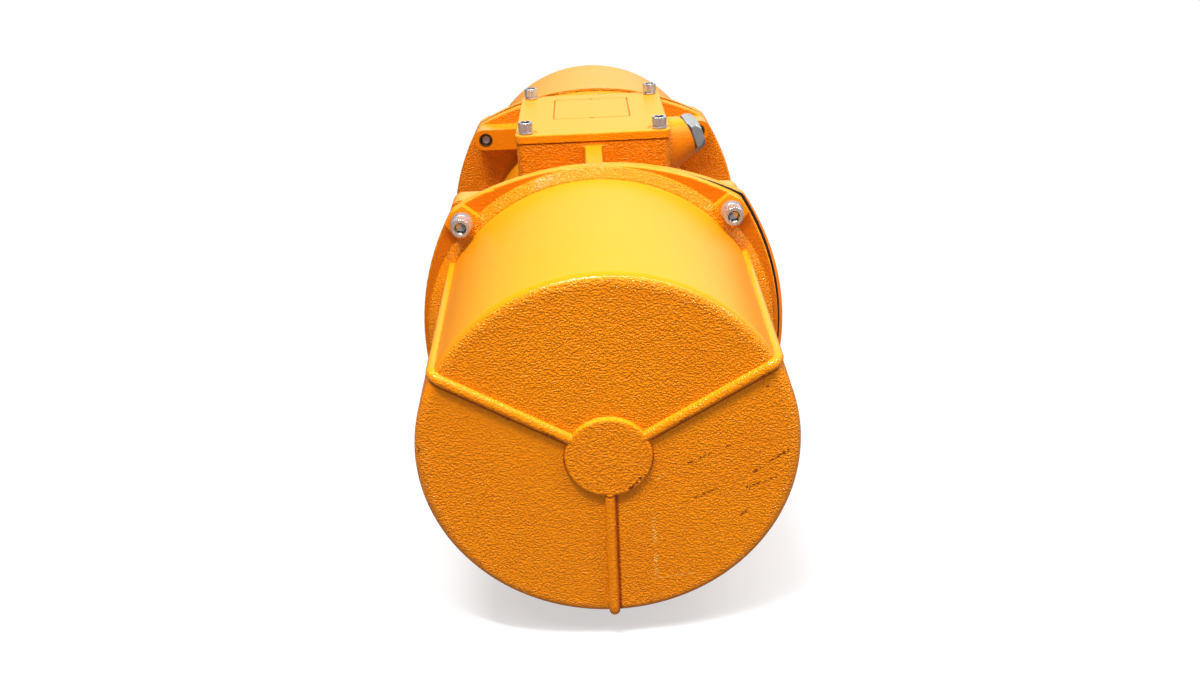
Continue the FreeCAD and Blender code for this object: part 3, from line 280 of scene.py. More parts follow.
def flange_pockets(f):
    """Flange outside the sloping ring, which has little grain."""
    return from_shaft(f).rise(SKIRT_R - 0.0004, SKIRT_R + 0.0006)


def pocket_floor_shade(f):
    """Front of the flange outside the sloping ring, darkened as painted shade."""
    on_flange = f.y.abs().rise(FLANGE_Y + 0.004, FLANGE_Y + 0.002)
    return flange_pockets(f) * f.front.abs().rise(0.6, 0.95) * on_flange


def upright_wall_shade(f):
    """Walls of the housing that face along the shaft, darkened as painted shade."""
    return f.front.abs().rise(0.3, 0.9)


def painted_top_light(f):
    """Surfaces that face up, painted paler and yellower: painted top light that stands in for the light
    falling from above.
    """
    return f.up.rise(0.35, 0.95) * 0.85


@functools.cache
def on_beads(f):
    """The beads themselves, whose crests carry little grain."""
    crests = []
    for angle in BEAD_ANGLES:
        off, half = beside_bead(f, angle)
        crests.append(off.abs().rise(BEAD_R * 1.15, BEAD_R * 0.9) * half)
    return any_of(crests) * outside_disc(f)


def below_upper_beads(f):
    """Skin under the two upper beads, rubbed down beside them and rougher further off."""
    strips = []
    for angle, rubbed in zip(BEAD_ANGLES, (0.08, 0.45)):
        off, half = beside_bead(f, angle)
        strip = off.rise(-0.016, -0.006) * 0.45 + off.rise(-0.060, -0.012) * rubbed
        strips.append(off.rise(-BEAD_R * 0.6, -BEAD_R * 1.1) * strip * half)
    return any_of(strips) * outside_disc(f)


def bead_root_shade_and_dirt(f):
    """Thin dark line on the lower side of each bead and of the disc: partly painted shade where the bead
    meets the face, partly paint and dirt gathered in the crevice.
    """
    r = from_shaft(f)
    round_disc = r.rise(DISC_R + 0.0016, DISC_R + 0.0009) * r.rise(DISC_R, DISC_R + 0.0005)
    lines = [round_disc * (f.z - SHAFT_Z).rise(0.012, -0.004)]
    for angle in BEAD_ANGLES:
        off, half = beside_bead(f, angle)
        outer_side = off.rise(-BEAD_R - 0.0016, -BEAD_R - 0.0008)
        line = outer_side * off.rise(-BEAD_R + 0.0011, -BEAD_R + 0.0004)
        lines.append(line * half * r.rise(DISC_R, DISC_R + 0.002))
    return any_of(lines) * near_face(f)


def bead_underside_shade(f):
    """Painted shade on the lower side of each bead on the face, where less light falls, broken into
    patches.
    """
    shades = []
    for angle in BEAD_ANGLES:
        off, half = beside_bead(f, angle)
        shades.append(off.rise(-0.0004, -BEAD_R * 0.75) * off.rise(-BEAD_R * 1.2, -BEAD_R) * half)
    patches = f.noise(260, detail=3).rise(0.25, 0.6)
    return any_of(shades) * near_face(f) * outside_disc(f) * patches


def dressed_top(f):
    """Upper side of a cover between its two upper beads, which is smooth."""
    above = ((f.z - SHAFT_Z) / from_shaft(f)).rise(0.46, 0.53)
    behind_rim = f.y.abs().rise(FACE_Y - 0.0008, FACE_Y - 0.0026)
    return above * behind_rim * before_flange(f)


def cover_smooth(f):
    face = below_upper_beads(f).maximum(on_beads(f) * 0.6)
    return any_of([dressed_top(f), flange_pockets(f) * 0.75, face])


def cover_glossy(f):
    """Rounded rim, sloping ring and beads of a cover."""
    r = from_shaft(f)
    rim = f.y.abs().rise(FACE_Y - 0.0056, FACE_Y - 0.0034) * r.rise(RIM_R, RIM_R + 0.002)
    by_flange = f.y.abs().rise(FLANGE_Y + 0.008, FLANGE_Y + 0.006)
    ring = r.rise(RING_R, RING_R + 0.001) * r.rise(SKIRT_R + 0.0008, SKIRT_R) * by_flange
    return any_of([rim, ring, on_beads(f) * 0.9])


def lid_face(f):
    """Top of the lid."""
    return f.z.rise(LID_TOP - 0.0012, LID_TOP - 0.0008)


def lid_groove_shade(f):
    """Painted shade at the bottom of the line that frames the lid's panel, and of its two notches."""
    across = f.x.abs().rise(PANEL_HALF_WIDTH + 0.0008, PANEL_HALF_WIDTH)
    along = (f.y - PANEL_Y).abs().rise(PANEL_HALF_LENGTH + 0.0008, PANEL_HALF_LENGTH)
    return f.z.rise(LID_TOP - 0.0003, LID_TOP - 0.0007) * (across * along)


def bolt_hole_shade(f):
    """Painted shade: a dark ring in the mouth of each cover screw's hole in the back of its bar."""
    across = f.x.abs() - BOLT_X
    up = (f.z - SHAFT_Z).abs() - BOLT_Z
    off = (across * across + up * up) ** 0.5
    return off.rise(0.0062, 0.0050)


def filed_bars(f):
    """Bars behind the upper cover screws and the cable entry, which were filed smooth."""
    high = f.z.rise(SHAFT_Z + BOLT_Z - 0.014, SHAFT_Z + BOLT_Z - 0.012)
    return high * f.x.abs().rise(BOX_SIDE, BOX_SIDE + 0.001) * f.y.abs().rise(BARS_Y, BARS_Y - 0.002)


def housing_smooth(f):
    return filed_bars(f) * 0.8


def housing_glossy(f):
    """Upper side of the filed bars."""
    return filed_bars(f) * f.up.rise(0.8, 0.95)


# ---- wear on the front cover's face --------------------------------------------------------------
# Each stroke's start and end, across and up from the shaft line, and its half width.
DARK_STROKES = (
    ((0.0434, -0.0066), (0.0562, -0.0008), 0.0011),
    ((0.0649, 0.0029), (0.0666, 0.0037), 0.0011),
    ((0.0379, -0.0333), (0.0593, -0.0238), 0.0011),
    ((0.0725, -0.0423), (0.0774, -0.0378), 0.0010),
    ((0.0794, -0.0144), (0.0981, -0.0012), 0.0012),
    ((0.0700, -0.0260), (0.0920, -0.0180), 0.0009),
    ((0.0110, -0.0195), (0.0190, -0.0115), 0.0016),
    ((0.0860, 0.0385), (0.0890, 0.0402), 0.0014),
    ((-0.0560, 0.0275), (-0.0520, 0.0250), 0.0010),
    ((0.0815, 0.0450), (0.0862, 0.0477), 0.0014),
    ((0.0400, 0.0211), (0.0440, 0.0234), 0.0015),
    ((-0.0251, 0.0124), (-0.0350, 0.0181), 0.0012),
    ((-0.0790, 0.0434), (-0.0752, 0.0413), 0.0008),
    ((-0.1032, 0.0055), (-0.1028, 0.0110), 0.0010),
)
PALE_STROKES = (
    ((0.0240, -0.0415), (0.0247, -0.0793), 0.0016),
    ((0.0226, -0.0826), (0.0462, -0.0797), 0.0006),
    ((0.0260, -0.0160), (0.0300, -0.0124), 0.0006),
)


def stroke(f, start, end, width, raggedness, seed):
    """Mask of one worn stroke of the front face."""
    across = f.x - start[0]
    up = f.z - (SHAFT_Z + start[1])
    run = (end[0] - start[0], end[1] - start[1])
    length = math.hypot(*run)
    along = ((across * run[0] + up * run[1]) / length ** 2).clamp()
    off_x = across - along * run[0]
    off_z = up - along * run[1]
    off = (off_x * off_x + off_z * off_z) ** 0.5
    wobble = f.noise(420 + seed * 13, detail=2)
    return (off + (wobble - 0.5) * raggedness).rise(width, width * 0.3)


def worn_strokes(f, strokes, raggedness, seed, breaks):
    """Several strokes, broken up by the mask of breaks."""
    masks = []
    for number, (start, end, width) in enumerate(strokes):
        masks.append(stroke(f, start, end, width, width * raggedness, seed + number))
    return any_of(masks) * breaks * on_front_face(f)


def dark_strokes(f):
    breaks = f.noise(560, detail=3, roughness=0.7).rise(0.47, 0.55)
    return worn_strokes(f, DARK_STROKES, 1.4, 0, breaks)


def pale_strokes(f):
    breaks = f.noise(150, detail=3, roughness=0.7).rise(0.42, 0.52)
    return worn_strokes(f, PALE_STROKES, 0.7, 20, breaks)


# ---- paint on the castings -----------------------------------------------------------------------
ORANGE = (0.98, 0.288, 0.0008)
ORANGE_DEEP = (0.87, 0.208, 0.0008)
# Painted top light: the paler, yellower orange mixed into surfaces that face up.
ORANGE_PAINTED_TOP_LIGHT = (0.98, 0.425, 0.007)
ORANGE_PALE = (0.98, 0.50, 0.10)
ORANGE_SHADED = (0.62, 0.135, 0.0006)
# Dark red-brown: painted shade in the lid's groove, and along the bead roots, where it also stands for
# paint and dirt in the crevice.
CREVICE_SHADE_AND_DIRT = (0.42, 0.055, 0.0006)
RUST_BROWN = (0.16, 0.020, 0.001)
# Black of the gasket's joint lines, also used as painted shade in the mouths of the bolt holes.
JOINT_BLACK_AND_HOLE_SHADE = (0.010, 0.007, 0.006)
PAINT_GLINT = (1.0, 0.84, 0.42, 1.0)


def leather_grain(f):
    """Height of the cast skin: short fine wrinkles, longer from side to side than up and down."""
    wrinkles = f.noise(930, detail=0.6, distortion=0.15, place=f.stretched((0.84, 0.95, 1.08)))
    swell = f.noise(350, detail=0.0)
    return wrinkles.rise(0.30, 0.70) * (0.5 + swell)


def paint(name, grain_depth, smooth, glossy=None, marks=()):
    """Semi-gloss orange paint over the cast skin, with painted top light on surfaces that face up; smooth
    and glossy are masks of where it is so.
    """
    f = Finish(name)
    clouds = f.noise(16, detail=3)
    grain = leather_grain(f)
    colour = f.mix(clouds.rise(0.35, 0.75) * 0.4, ORANGE, ORANGE_DEEP)
    colour = f.mix(0.6 - grain.rise(0.1, 0.9) * 0.6, colour, ORANGE_DEEP)
    # Painted top light: surfaces that face up turn paler and yellower.
    colour = f.mix(painted_top_light(f), colour, ORANGE_PAINTED_TOP_LIGHT)
    for tone, amount, mask in marks:
        colour = f.mix(mask(f) * amount, colour, tone)
    grain = grain * (1 - smooth(f) * 0.93)
    roughness = 0.26 + clouds * 0.08 + (1 - grain.clamp()) * 0.05
    coat = {}
    if glossy is not None:
        shine = glossy(f)
        roughness = roughness - shine * 0.17
        grain = grain * (1 + shine * 0.3)
        coat = {"Coat Weight": shine * grain * 0.85, "Coat Roughness": 0.10}
    soft_edges = f.node("Bevel", {"samples": 4}, {"Radius": 0.0009})
    drift = f.bump(f.noise(70, detail=1.5), 0.0003, under=soft_edges)
    relief = f.bump(grain, grain_depth, under=drift)
    return f.surface({"Base Color": colour, "Roughness": roughness, "Normal": relief,
                      "Specular IOR Level": 0.44, "Specular Tint": PAINT_GLINT, **coat})


# Cover marks: orange on the rim, ring and beads lessens the painted top light there; pocket floors and bead
# undersides are painted shade, bead roots partly so; the strokes are wear.
COVER_MARKS = ((ORANGE, 0.3, cover_glossy), (ORANGE_SHADED, 0.75, pocket_floor_shade),
               (ORANGE_SHADED, 0.8, bead_underside_shade), (CREVICE_SHADE_AND_DIRT, 0.9, bead_root_shade_and_dirt),
               (RUST_BROWN, 0.85, dark_strokes), (ORANGE_PALE, 0.55, pale_strokes))
# Housing marks: painted shade on the upright walls and in the mouths of the bolt holes.
HOUSING_MARKS = ((ORANGE_SHADED, 0.45, upright_wall_shade), (JOINT_BLACK_AND_HOLE_SHADE, 0.95, bolt_hole_shade))
# Lid mark: painted shade in the panel's groove.
LID_MARKS = ((CREVICE_SHADE_AND_DIRT, 0.5, lid_groove_shade),)

COVER_PAINT = paint("cover_paint", 0.00042, cover_smooth, cover_glossy, COVER_MARKS)
BODY_PAINT = paint("body_paint", 0.00040, housing_smooth, housing_glossy, HOUSING_MARKS)
LID_PAINT = paint("lid_paint", 0.00020, lid_face, marks=LID_MARKS)


# ---- other finishes ------------------------------------------------------------------------------
def metal(name, colour, roughness, metallic=1.0, stain=(0.35, 0.32, 0.28)):
    """Plated or plain metal with a fine grain and a few stains."""
    f = Finish(name)
    fine = f.noise(900, detail=3, roughness=0.65)
    blotch = f.noise(55, detail=3)
    tone = f.mix(blotch.rise(0.45, 0.8) * 0.5, colour, stain)
    tone = f.mix(fine.rise(0.3, 0.8) * 0.25, tone, shaded(colour, 0.7))
    return f.surface({"Base Color": tone, "Metallic": metallic, "Roughness": roughness + (fine - 0.5) * 0.2,
                      "Normal": f.bump(fine, 0.00002)})


def rubber(name):
    """Black rubber with a little dust."""
    f = Finish(name)
    speckle = f.noise(1400, detail=3)
    dust = f.noise(45, detail=3)
    colour = f.mix(dust.rise(0.4, 0.8) * 0.5, (0.012, 0.011, 0.011), (0.05, 0.04, 0.035))
    return f.surface({"Base Color": colour, "Roughness": 0.6 + speckle * 0.2,
                      "Normal": f.bump(speckle, 0.0001)})


def beyond_flange(f):
    """Distance outside the cover's flange, whose sides are four flat arcs."""
    across = f.x.abs()
    up = (f.z - SHAFT_Z).abs()
    sides = []
    for first, second, half, bolt_near, bolt_far in (
            (across, up, FLANGE_HALF_WIDTH, BOLT_X, BOLT_Z),
            (up, across, FLANGE_HALF_HEIGHT, BOLT_Z, BOLT_X)):
        reach = half - bolt_near
        arc_r = (bolt_far ** 2 + reach ** 2 - FLANGE_CORNER_R ** 2) / (2 * (reach - FLANGE_CORNER_R))
        inward = first + (arc_r - half)
        sides.append((inward * inward + second * second) ** 0.5 - arc_r)
    return any_of(sides)


def painted_joint(name):
    """Cover gasket, painted over but for a thin line along its edge and a strip beside the flange."""
    f = Finish(name)
    speckle = f.noise(1400, detail=3)
    edge = (f.y.abs() - (SEAM_Y - 0.0004)).abs().rise(0.00028, 0.00014)
    lines = beyond_flange(f).rise(0.0021, 0.0017).maximum(edge)
    colour = f.mix(speckle, ORANGE_DEEP, ORANGE)
    # Painted top light on the gasket's upper side, as on the castings.
    colour = f.mix(painted_top_light(f), colour, ORANGE_PAINTED_TOP_LIGHT)
    colour = f.mix(lines, colour, JOINT_BLACK_AND_HOLE_SHADE)
    return f.surface({"Base Color": colour, "Roughness": 0.45 + speckle * 0.2,
                      "Normal": f.bump(speckle, 0.0001)})


def moulded(name, colour):
    """Dull moulded plastic."""
    f = Finish(name)
    speckle = f.noise(1800, detail=2)
    clouds = f.noise(30, detail=2)
    return f.surface({"Base Color": f.mix(clouds, colour, shaded(colour, 0.8)),
                      "Roughness": 0.42 + speckle * 0.15, "Normal": f.bump(speckle, 0.00005)})


def sheet_stack(name):
    """Edges of thin pressed sheets stacked along the shaft."""
    f = Finish(name)
    edge = f.bands("Y", "SAW", {"Scale": 320.0, "Distortion": 0.4, "Detail": 1.0})
    scorch = f.noise(90, detail=3)
    colour = f.mix(scorch.rise(0.4, 0.75), (0.20, 0.20, 0.22), (0.10, 0.085, 0.08))
    return f.surface({"Base Color": colour, "Metallic": 0.85, "Roughness": 0.45 + edge * 0.15,
                      "Normal": f.bump(edge, 0.0001)})


def enamelled_wire(name):
    """Bundles of varnished copper wire."""
    f = Finish(name)
    strand = f.bands("Z", "SIN", {"Scale": 260.0, "Distortion": 2.5, "Detail": 2.0, "Detail Scale": 1.2})
    varnish = f.noise(70, detail=3)
    colour = f.mix(varnish.rise(0.35, 0.75), (0.52, 0.16, 0.05), (0.28, 0.07, 0.02))
    return f.surface({"Base Color": colour, "Metallic": 0.6, "Roughness": 0.32 + varnish * 0.2,
                      "Normal": f.bump(strand, 0.0004)})


def sand_cast(name, colour, metallic):
    """Bare metal as it came out of the sand."""
    f = Finish(name)
    sand = f.noise(700, detail=4, roughness=0.7)
    lumps = f.noise(90, detail=2)
    tone = f.mix(lumps.rise(0.35, 0.7), colour, shaded(colour, 0.65))
    relief = f.bump(sand, 0.00015, under=f.bump(lumps, 0.0005))
    return f.surface({"Base Color": tone, "Metallic": metallic, "Roughness": 0.55 + sand * 0.15,
                      "Normal": relief})


def turned_steel(name, colour, roughness):
    """Ground and turned surfaces: fine rings round the shaft."""
    f = Finish(name)
    rings = f.bands("Y", "SIN", {"Scale": 700.0, "Distortion": 0.3, "Detail": 1.0})
    oil = f.noise(40, detail=3)
    tone = f.mix(oil.rise(0.4, 0.8) * 0.6, colour, shaded(colour, 0.6))
    return f.surface({"Base Color": tone, "Metallic": 1.0, "Roughness": roughness + rings * 0.08,
                      "Normal": f.bump(rings, 0.00002)})


ZINC_STEEL = metal("zinc_steel", (0.67, 0.68, 0.72), 0.30, metallic=0.76)
# Dark steel for the walls of a screw's socket and the ends of its knurls: painted shade in these recesses.
SHADED_RECESS_STEEL = metal("shaded_recess_steel", (0.17, 0.155, 0.15), 0.28, stain=(0.10, 0.07, 0.04))
PLUG_STEEL = metal("plug_steel", (0.52, 0.56, 0.58), 0.40, metallic=0.85)
BRASS = metal("brass", (0.72, 0.50, 0.18), 0.3, stain=(0.4, 0.25, 0.08))
CAST_ALUMINIUM = sand_cast("cast_aluminium", (0.62, 0.62, 0.63), 0.9)
CAST_IRON = sand_cast("cast_iron", (0.13, 0.125, 0.12), 0.5)
CORE_STEEL = sheet_stack("core_steel")
COPPER = enamelled_wire("winding_copper")
GROUND_STEEL = turned_steel("ground_steel", (0.56, 0.56, 0.57), 0.25)
BEARING_STEEL = turned_steel("bearing_steel", (0.62, 0.62, 0.63), 0.14)
BLACK_RUBBER = rubber("black_rubber")
PAINTED_JOINT = painted_joint("painted_joint")
TERMINAL_PLASTIC = moulded("terminal_plastic", (0.035, 0.03, 0.028))

# Finish of each CAD node that is shown; END_FINISHES has those that come once at each end.
FINISHES = {
    BODY_PAINT: ("housing",),
    LID_PAINT: ("terminal_box_lid",),
    BLACK_RUBBER: ("terminal_box_gasket", "cable_entry_seal"),
    ZINC_STEEL: ("terminal_block_screws",),
    BRASS: ("terminal_studs", "terminal_nuts"),
    TERMINAL_PLASTIC: ("terminal_block",),
    CORE_STEEL: ("stator_core", "rotor_core"),
    COPPER: ("stator_windings",),
    CAST_ALUMINIUM: ("rotor_cage",),
    GROUND_STEEL: ("shaft",),
}
END_FINISHES = {
    COVER_PAINT: ("cover",),
    PAINTED_JOINT: ("cover_gasket",),
    ZINC_STEEL: ("bearing_shield_screws", "bearing_cap_screws", "fixed_weight_screw",
                 "adjustable_weight_screw", "shaft_end_washer", "retaining_ring"),
    CAST_IRON: ("bearing_shield", "bearing_cap", "fixed_weight", "adjustable_weight"),
    BEARING_STEEL: ("bearing_outer_ring", "bearing_inner_ring", "bearing_rollers"),
    BRASS: ("bearing_cage",),
    GROUND_STEEL: ("weight_spacer", "weight_key"),
}


def dress(node, material):
    """Gives a CAD node its finish."""
    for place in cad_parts[node].material_slots:
        place.material = material


for material, nodes in FINISHES.items():
    for node in nodes:
        dress(node, material)
for material, nodes in END_FINISHES.items():
    for node in nodes:
        for end in ENDS:
            dress(end + "_" + node, material)


# ---- hardware made as meshes ---------------------------------------------------------------------
def skin(mesh, rings, count):
    """Closed skin through rings of (height, radius or radius at an angle), from bottom to top."""
    rows = []
    for height, radius in rings:
        row = []
        for i in range(count):
            angle = 2 * math.pi * i / count
            r = radius(angle) if callable(radius) else radius
            row.append(mesh.verts.new((r * math.cos(angle), r * math.sin(angle), height)))
        rows.append(row)
    join_rows(mesh, rows)
    mesh.faces.new(list(reversed(rows[0])))
    mesh.faces.new(rows[-1])


def join_rows(mesh, rows):
    """Faces between neighbouring rows of points, each row closed on itself."""
    count = len(rows[0])
    for low, high in zip(rows, rows[1:]):
        for i in range(count):
            j = (i + 1) % count
            mesh.faces.new((low[i], low[j], high[j], high[i]))


def hexagon(across, limit=1.0):
    """Radius of a hexagon at an angle, with a corner at angle 0, turned down to a round of radius limit."""
    def radius(angle):
        return min(limit, across / 2 / math.cos((angle % (math.pi / 3)) - math.pi / 6))
    return radius


def knurled(outer, depth):
    """Radius of a round with grooves along it, at an angle."""
    def radius(angle):
        return outer - depth * (0.5 - 0.5 * math.cos(KNURLS * angle))
    return radius


def thread(outer, depth, turns):
    """Radius of a thread at an angle, a number of turns above its start."""
    def radius(angle):
        share = (turns - angle / (2 * math.pi)) % 1.0
        return outer - depth * (1 - abs(2 * share - 1))
    return radius


def screw_head(mesh, size):
    """Knurled head with a bevelled rim and a hexagonal socket, standing on z = 0."""
    r, h = size["head_r"], size["head_h"]
    corner = size["socket"] / math.sqrt(3)
    socket = hexagon(size["socket"])
    floor = h * 0.42
    side = knurled(r, 0.00040)
    bevel = knurled(r * 0.975, 0.00036)
    rim = knurled(r * 0.935, 0.00016)
    rings = [(0.0, r * 0.9), (0.0003, side), (h * 0.90, side), (h * 0.915, side), (h * 0.945, bevel),
             (h * 0.985, rim), (h, r * 0.90), (h, r * 0.87), (h, corner + 0.0004),
             (h - 0.0003, corner + 0.00005), (h - 0.0007, socket), (floor, socket),
             (floor - 0.0001, size["socket"] * 0.46), (floor - 0.0011, 0.0002)]
    skin(mesh, rings, KNURLS * 4)
    paint_recess_shade(mesh, size, floor, corner)


def paint_recess_shade(mesh, size, floor, corner):
    """Gives the socket's walls and the ends of the knurls the second finish, a dark steel that is painted
    shade in these recesses.
    """
    r, h = size["head_r"], size["head_h"]
    for face in mesh.faces:
        middle = face.calc_center_median()
        out = math.hypot(middle.x, middle.y)
        below_top = middle.z < h - 0.00005
        in_socket = floor + 0.0001 < middle.z and below_top and out < corner + 0.0003
        on_groove = math.cos(KNURLS * math.atan2(middle.y, middle.x)) < 0
        in_groove = h * 0.91 < middle.z and below_top and on_groove and out > r * 0.88
        if in_socket or in_groove:
            face.material_index = 1


def screw_shank(mesh, size, length, threaded):
    """Shank that points down from z = 0, with rolled threads over its last part."""
    r, pitch = size["shank_r"], size["pitch"]
    depth = pitch * 0.55
    start = depth - length
    rings = [(-length, r - depth * 1.3), (start, r - depth * 0.2)]
    for step in range(1, int(threaded / pitch * 4)):
        climb = step * pitch / 4
        rings.append((start + climb, thread(r, depth, climb / pitch)))
    rings += [(start + threaded + depth, r), (0.0001, r)]
    skin(mesh, rings, 24)


def cap_screw(size, length, threaded):
    def build(mesh):
        screw_head(mesh, size)
        screw_shank(mesh, size, length, threaded)
    return build


def spring_washer(size, base=0.0):
    """Nearly closed turn of square bar whose ends stand a little apart."""
    def build(mesh):
        steps = 56
        gap = math.radians(9)
        lift = 0.0003
        t = SPRING_WASHER_T
        bevel = t * 0.14
        squeeze = 1 - 2 * lift / t
        inner = size["shank_r"] + WASHER_PLAY
        outer = size["head_r"] - WASHER_PLAY
        section = [(inner + bevel, 0), (outer - bevel, 0), (outer, bevel), (outer, t - bevel),
                   (outer - bevel, t), (inner + bevel, t), (inner, t - bevel), (inner, bevel)]
        rows = []
        for step in range(steps + 1):
            share = step / steps
            angle = gap / 2 + share * (2 * math.pi - gap)
            middle = base + t / 2 + lift * (share - 0.5)
            rows.append([mesh.verts.new((r * math.cos(angle), r * math.sin(angle),
                                         middle + (z - t / 2) * squeeze)) for r, z in section])
        join_rows(mesh, rows)
        mesh.faces.new(rows[0])
        mesh.faces.new(list(reversed(rows[-1])))
    return build


def flat_washer(size):
    """Stamped washer with one rounded edge, standing on z = 0."""
    def build(mesh):
        count = 64
        t = PLAIN_WASHER_T
        bevel = t * 0.25
        inner = size["shank_r"] + WASHER_PLAY
        outer = size["head_r"] + 0.0007
        section = [(inner, 0), (outer - bevel / 2, 0), (outer, bevel / 2), (outer, t - bevel),
                   (outer - bevel * 0.3, t - bevel * 0.3), (outer - bevel, t), (inner, t)]
        angles = [2 * math.pi * i / count for i in range(count)]
        rows = [[mesh.verts.new((r * math.cos(angle), r * math.sin(angle), z)) for angle in angles]
                for r, z in section]
        join_rows(mesh, rows + rows[:1])
    return build


def plug_body(mesh):
    """Hexagonal blanking plug whose corners are turned down towards its outer end."""
    across, t, r = PLUG["across"], PLUG["head_t"], PLUG["thread_r"]
    top = SEAL_T + t
    corner_start = SEAL_T + 0.0009
    corner_steps = 12
    rings = [(-PLUG["thread_length"], r - 0.0008), (0.0008 - PLUG["thread_length"], r), (SEAL_T, r),
             (SEAL_T, across / 2 - 0.0003), (corner_start, hexagon(across, across / 2 + 0.0019))]
    for step in range(1, corner_steps + 1):
        height = corner_start + (t - 0.0013) * step / corner_steps
        limit = across / 2 + 0.0042 - 0.0040 * (height - SEAL_T) / t
        rings.append((height, hexagon(across, limit)))
    rings += [(top, across / 2 - 0.0006), (top, across * 0.36), (top - 0.0004, across * 0.34),
              (top - 0.0004, 0.0005)]
    skin(mesh, rings, 120)


def made_pieces(name, build, places, node, materials):
    """One object of equal meshes at several places, which stands for a CAD node."""
    single = bmesh.new()
    build(single)
    bmesh.ops.recalc_face_normals(single, faces=single.faces)
    unit = bpy.data.meshes.new(name + "_unit")
    single.to_mesh(unit)
    single.free()
    whole = bmesh.new()
    for place in places:
        ready = len(whole.verts)
        whole.from_mesh(unit)
        whole.verts.ensure_lookup_table()
        bmesh.ops.transform(whole, matrix=place, verts=whole.verts[ready:])
    data = bpy.data.meshes.new(name)
    whole.to_mesh(data)
    whole.free()
    bpy.data.meshes.remove(unit)
    data.shade_smooth()
    data.set_sharp_from_angle(angle=math.radians(32))
    for material in materials:
        data.materials.append(material)
    piece = bpy.data.objects.new(name, data)
    bpy.context.collection.objects.link(piece)
    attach(piece, BODY)
    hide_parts(node)


def standing(place, direction, turn):
    """Placing of a piece that is built upwards from z = 0, turned about its axis."""
    lean = Vector(direction).to_track_quat("Z", "Y").to_matrix().to_4x4()
    return Matrix.Translation(place) @ lean @ Matrix.Rotation(math.radians(turn), 4, "Z")


def corners_of(node, radius):
    """Middles of the four equal solids of a node that stand at the corners of its box."""
    low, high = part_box(node)
    xs = (low.x + radius, high.x - radius)
    if high.y - low.y > high.z - low.z:
        return [Vector((x, y, low.z)) for x in xs for y in (low.y + radius, high.y - radius)]
    return [Vector((x, low.y, z)) for x in xs for z in (low.z + radius, high.z - radius)]


def add_cover_hardware(end):
    """Screws, spring washers and plain washers of one cover."""
    out = -1 if end == "front" else 1
    low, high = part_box(end + "_cover_screws")
    top = high.y if out > 0 else low.y
    seat = top - out * M8["head_h"]
    places = corners_of(end + "_cover_screws", M8["head_r"])
    length = high.y - low.y - M8["head_h"]
    screws = [standing((p.x, seat, p.z), (0, out, 0), 17 + 38 * i) for i, p in enumerate(places)]
    made_pieces(end + "_cover_screw_set", cap_screw(M8, length, COVER_THREAD_LENGTH), screws,
                end + "_cover_screws", (ZINC_STEEL, SHADED_RECESS_STEEL))
    under = seat - out * (SPRING_WASHER_T + PLAIN_WASHER_T)
    washers = [standing((p.x, under, p.z), (0, out, 0), 100 + 55 * i) for i, p in enumerate(places)]
    made_pieces(end + "_cover_washer_set", washer_stack, washers,
                end + "_cover_screw_washers", (ZINC_STEEL,))


def washer_stack(mesh):
    """Plain washer with a spring washer on it."""
    flat_washer(M8)(mesh)
    spring_washer(M8, base=PLAIN_WASHER_T)(mesh)


def add_lid_hardware():
    """Screws of the lid, each with a spring washer."""
    low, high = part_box("lid_screws")
    seat = high.z - M6["head_h"]
    places = corners_of("lid_screws", M6["head_r"])
    length = high.z - low.z - M6["head_h"]
    screws = [standing((p.x, p.y, seat), (0, 0, 1), 24 + 31 * i) for i, p in enumerate(places)]
    made_pieces("lid_screw_set", cap_screw(M6, length, LID_THREAD_LENGTH), screws,
                "lid_screws", (ZINC_STEEL, SHADED_RECESS_STEEL))
    under = seat - SPRING_WASHER_T
    washers = [standing((p.x, p.y, under), (0, 0, 1), 200 + 70 * i) for i, p in enumerate(places)]
    made_pieces("lid_washer_set", spring_washer(M6), washers, "lid_screw_washers", (ZINC_STEEL,))


def add_plug():
    """Plug that closes the cable entry."""
    low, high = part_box("cable_entry_seal")
    rim = (low + high) / 2 - ENTRY_DIRECTION * SEAL_T / 2
    place = standing(rim, ENTRY_DIRECTION, PLUG["turn"])
    made_pieces("cable_plug", plug_body, [place], "cable_entry_plug", (PLUG_STEEL,))


for end in ENDS:
    add_cover_hardware(end)
add_lid_hardware()
add_plug()


# ---- floor, light and camera ---------------------------------------------------------------------
WHITE = (1, 1, 1, 1)
FLOOR_HALF_SIZE = 12.0
FLOOR_Z = -0.0005

# Name, place, point that it faces, width and height, watts.
LAMPS = (
    ("ceiling", (0.25, -1.05, 2.5), (0, -0.1, 0.1), (3.2, 0.55), 71),
    ("tube", (-0.42, -1.03, 2.4), (0, -0.2, 0.2), (0.8, 0.04), 36),
    ("window", (1.35, -0.68, 1.15), (0, -0.2, 0.15), (0.08, 0.8), 5),
    ("front_fill", (0.0, -2.2, 0.8), (0, 0, 0.15), (1.6, 1.2), 0.9),
)


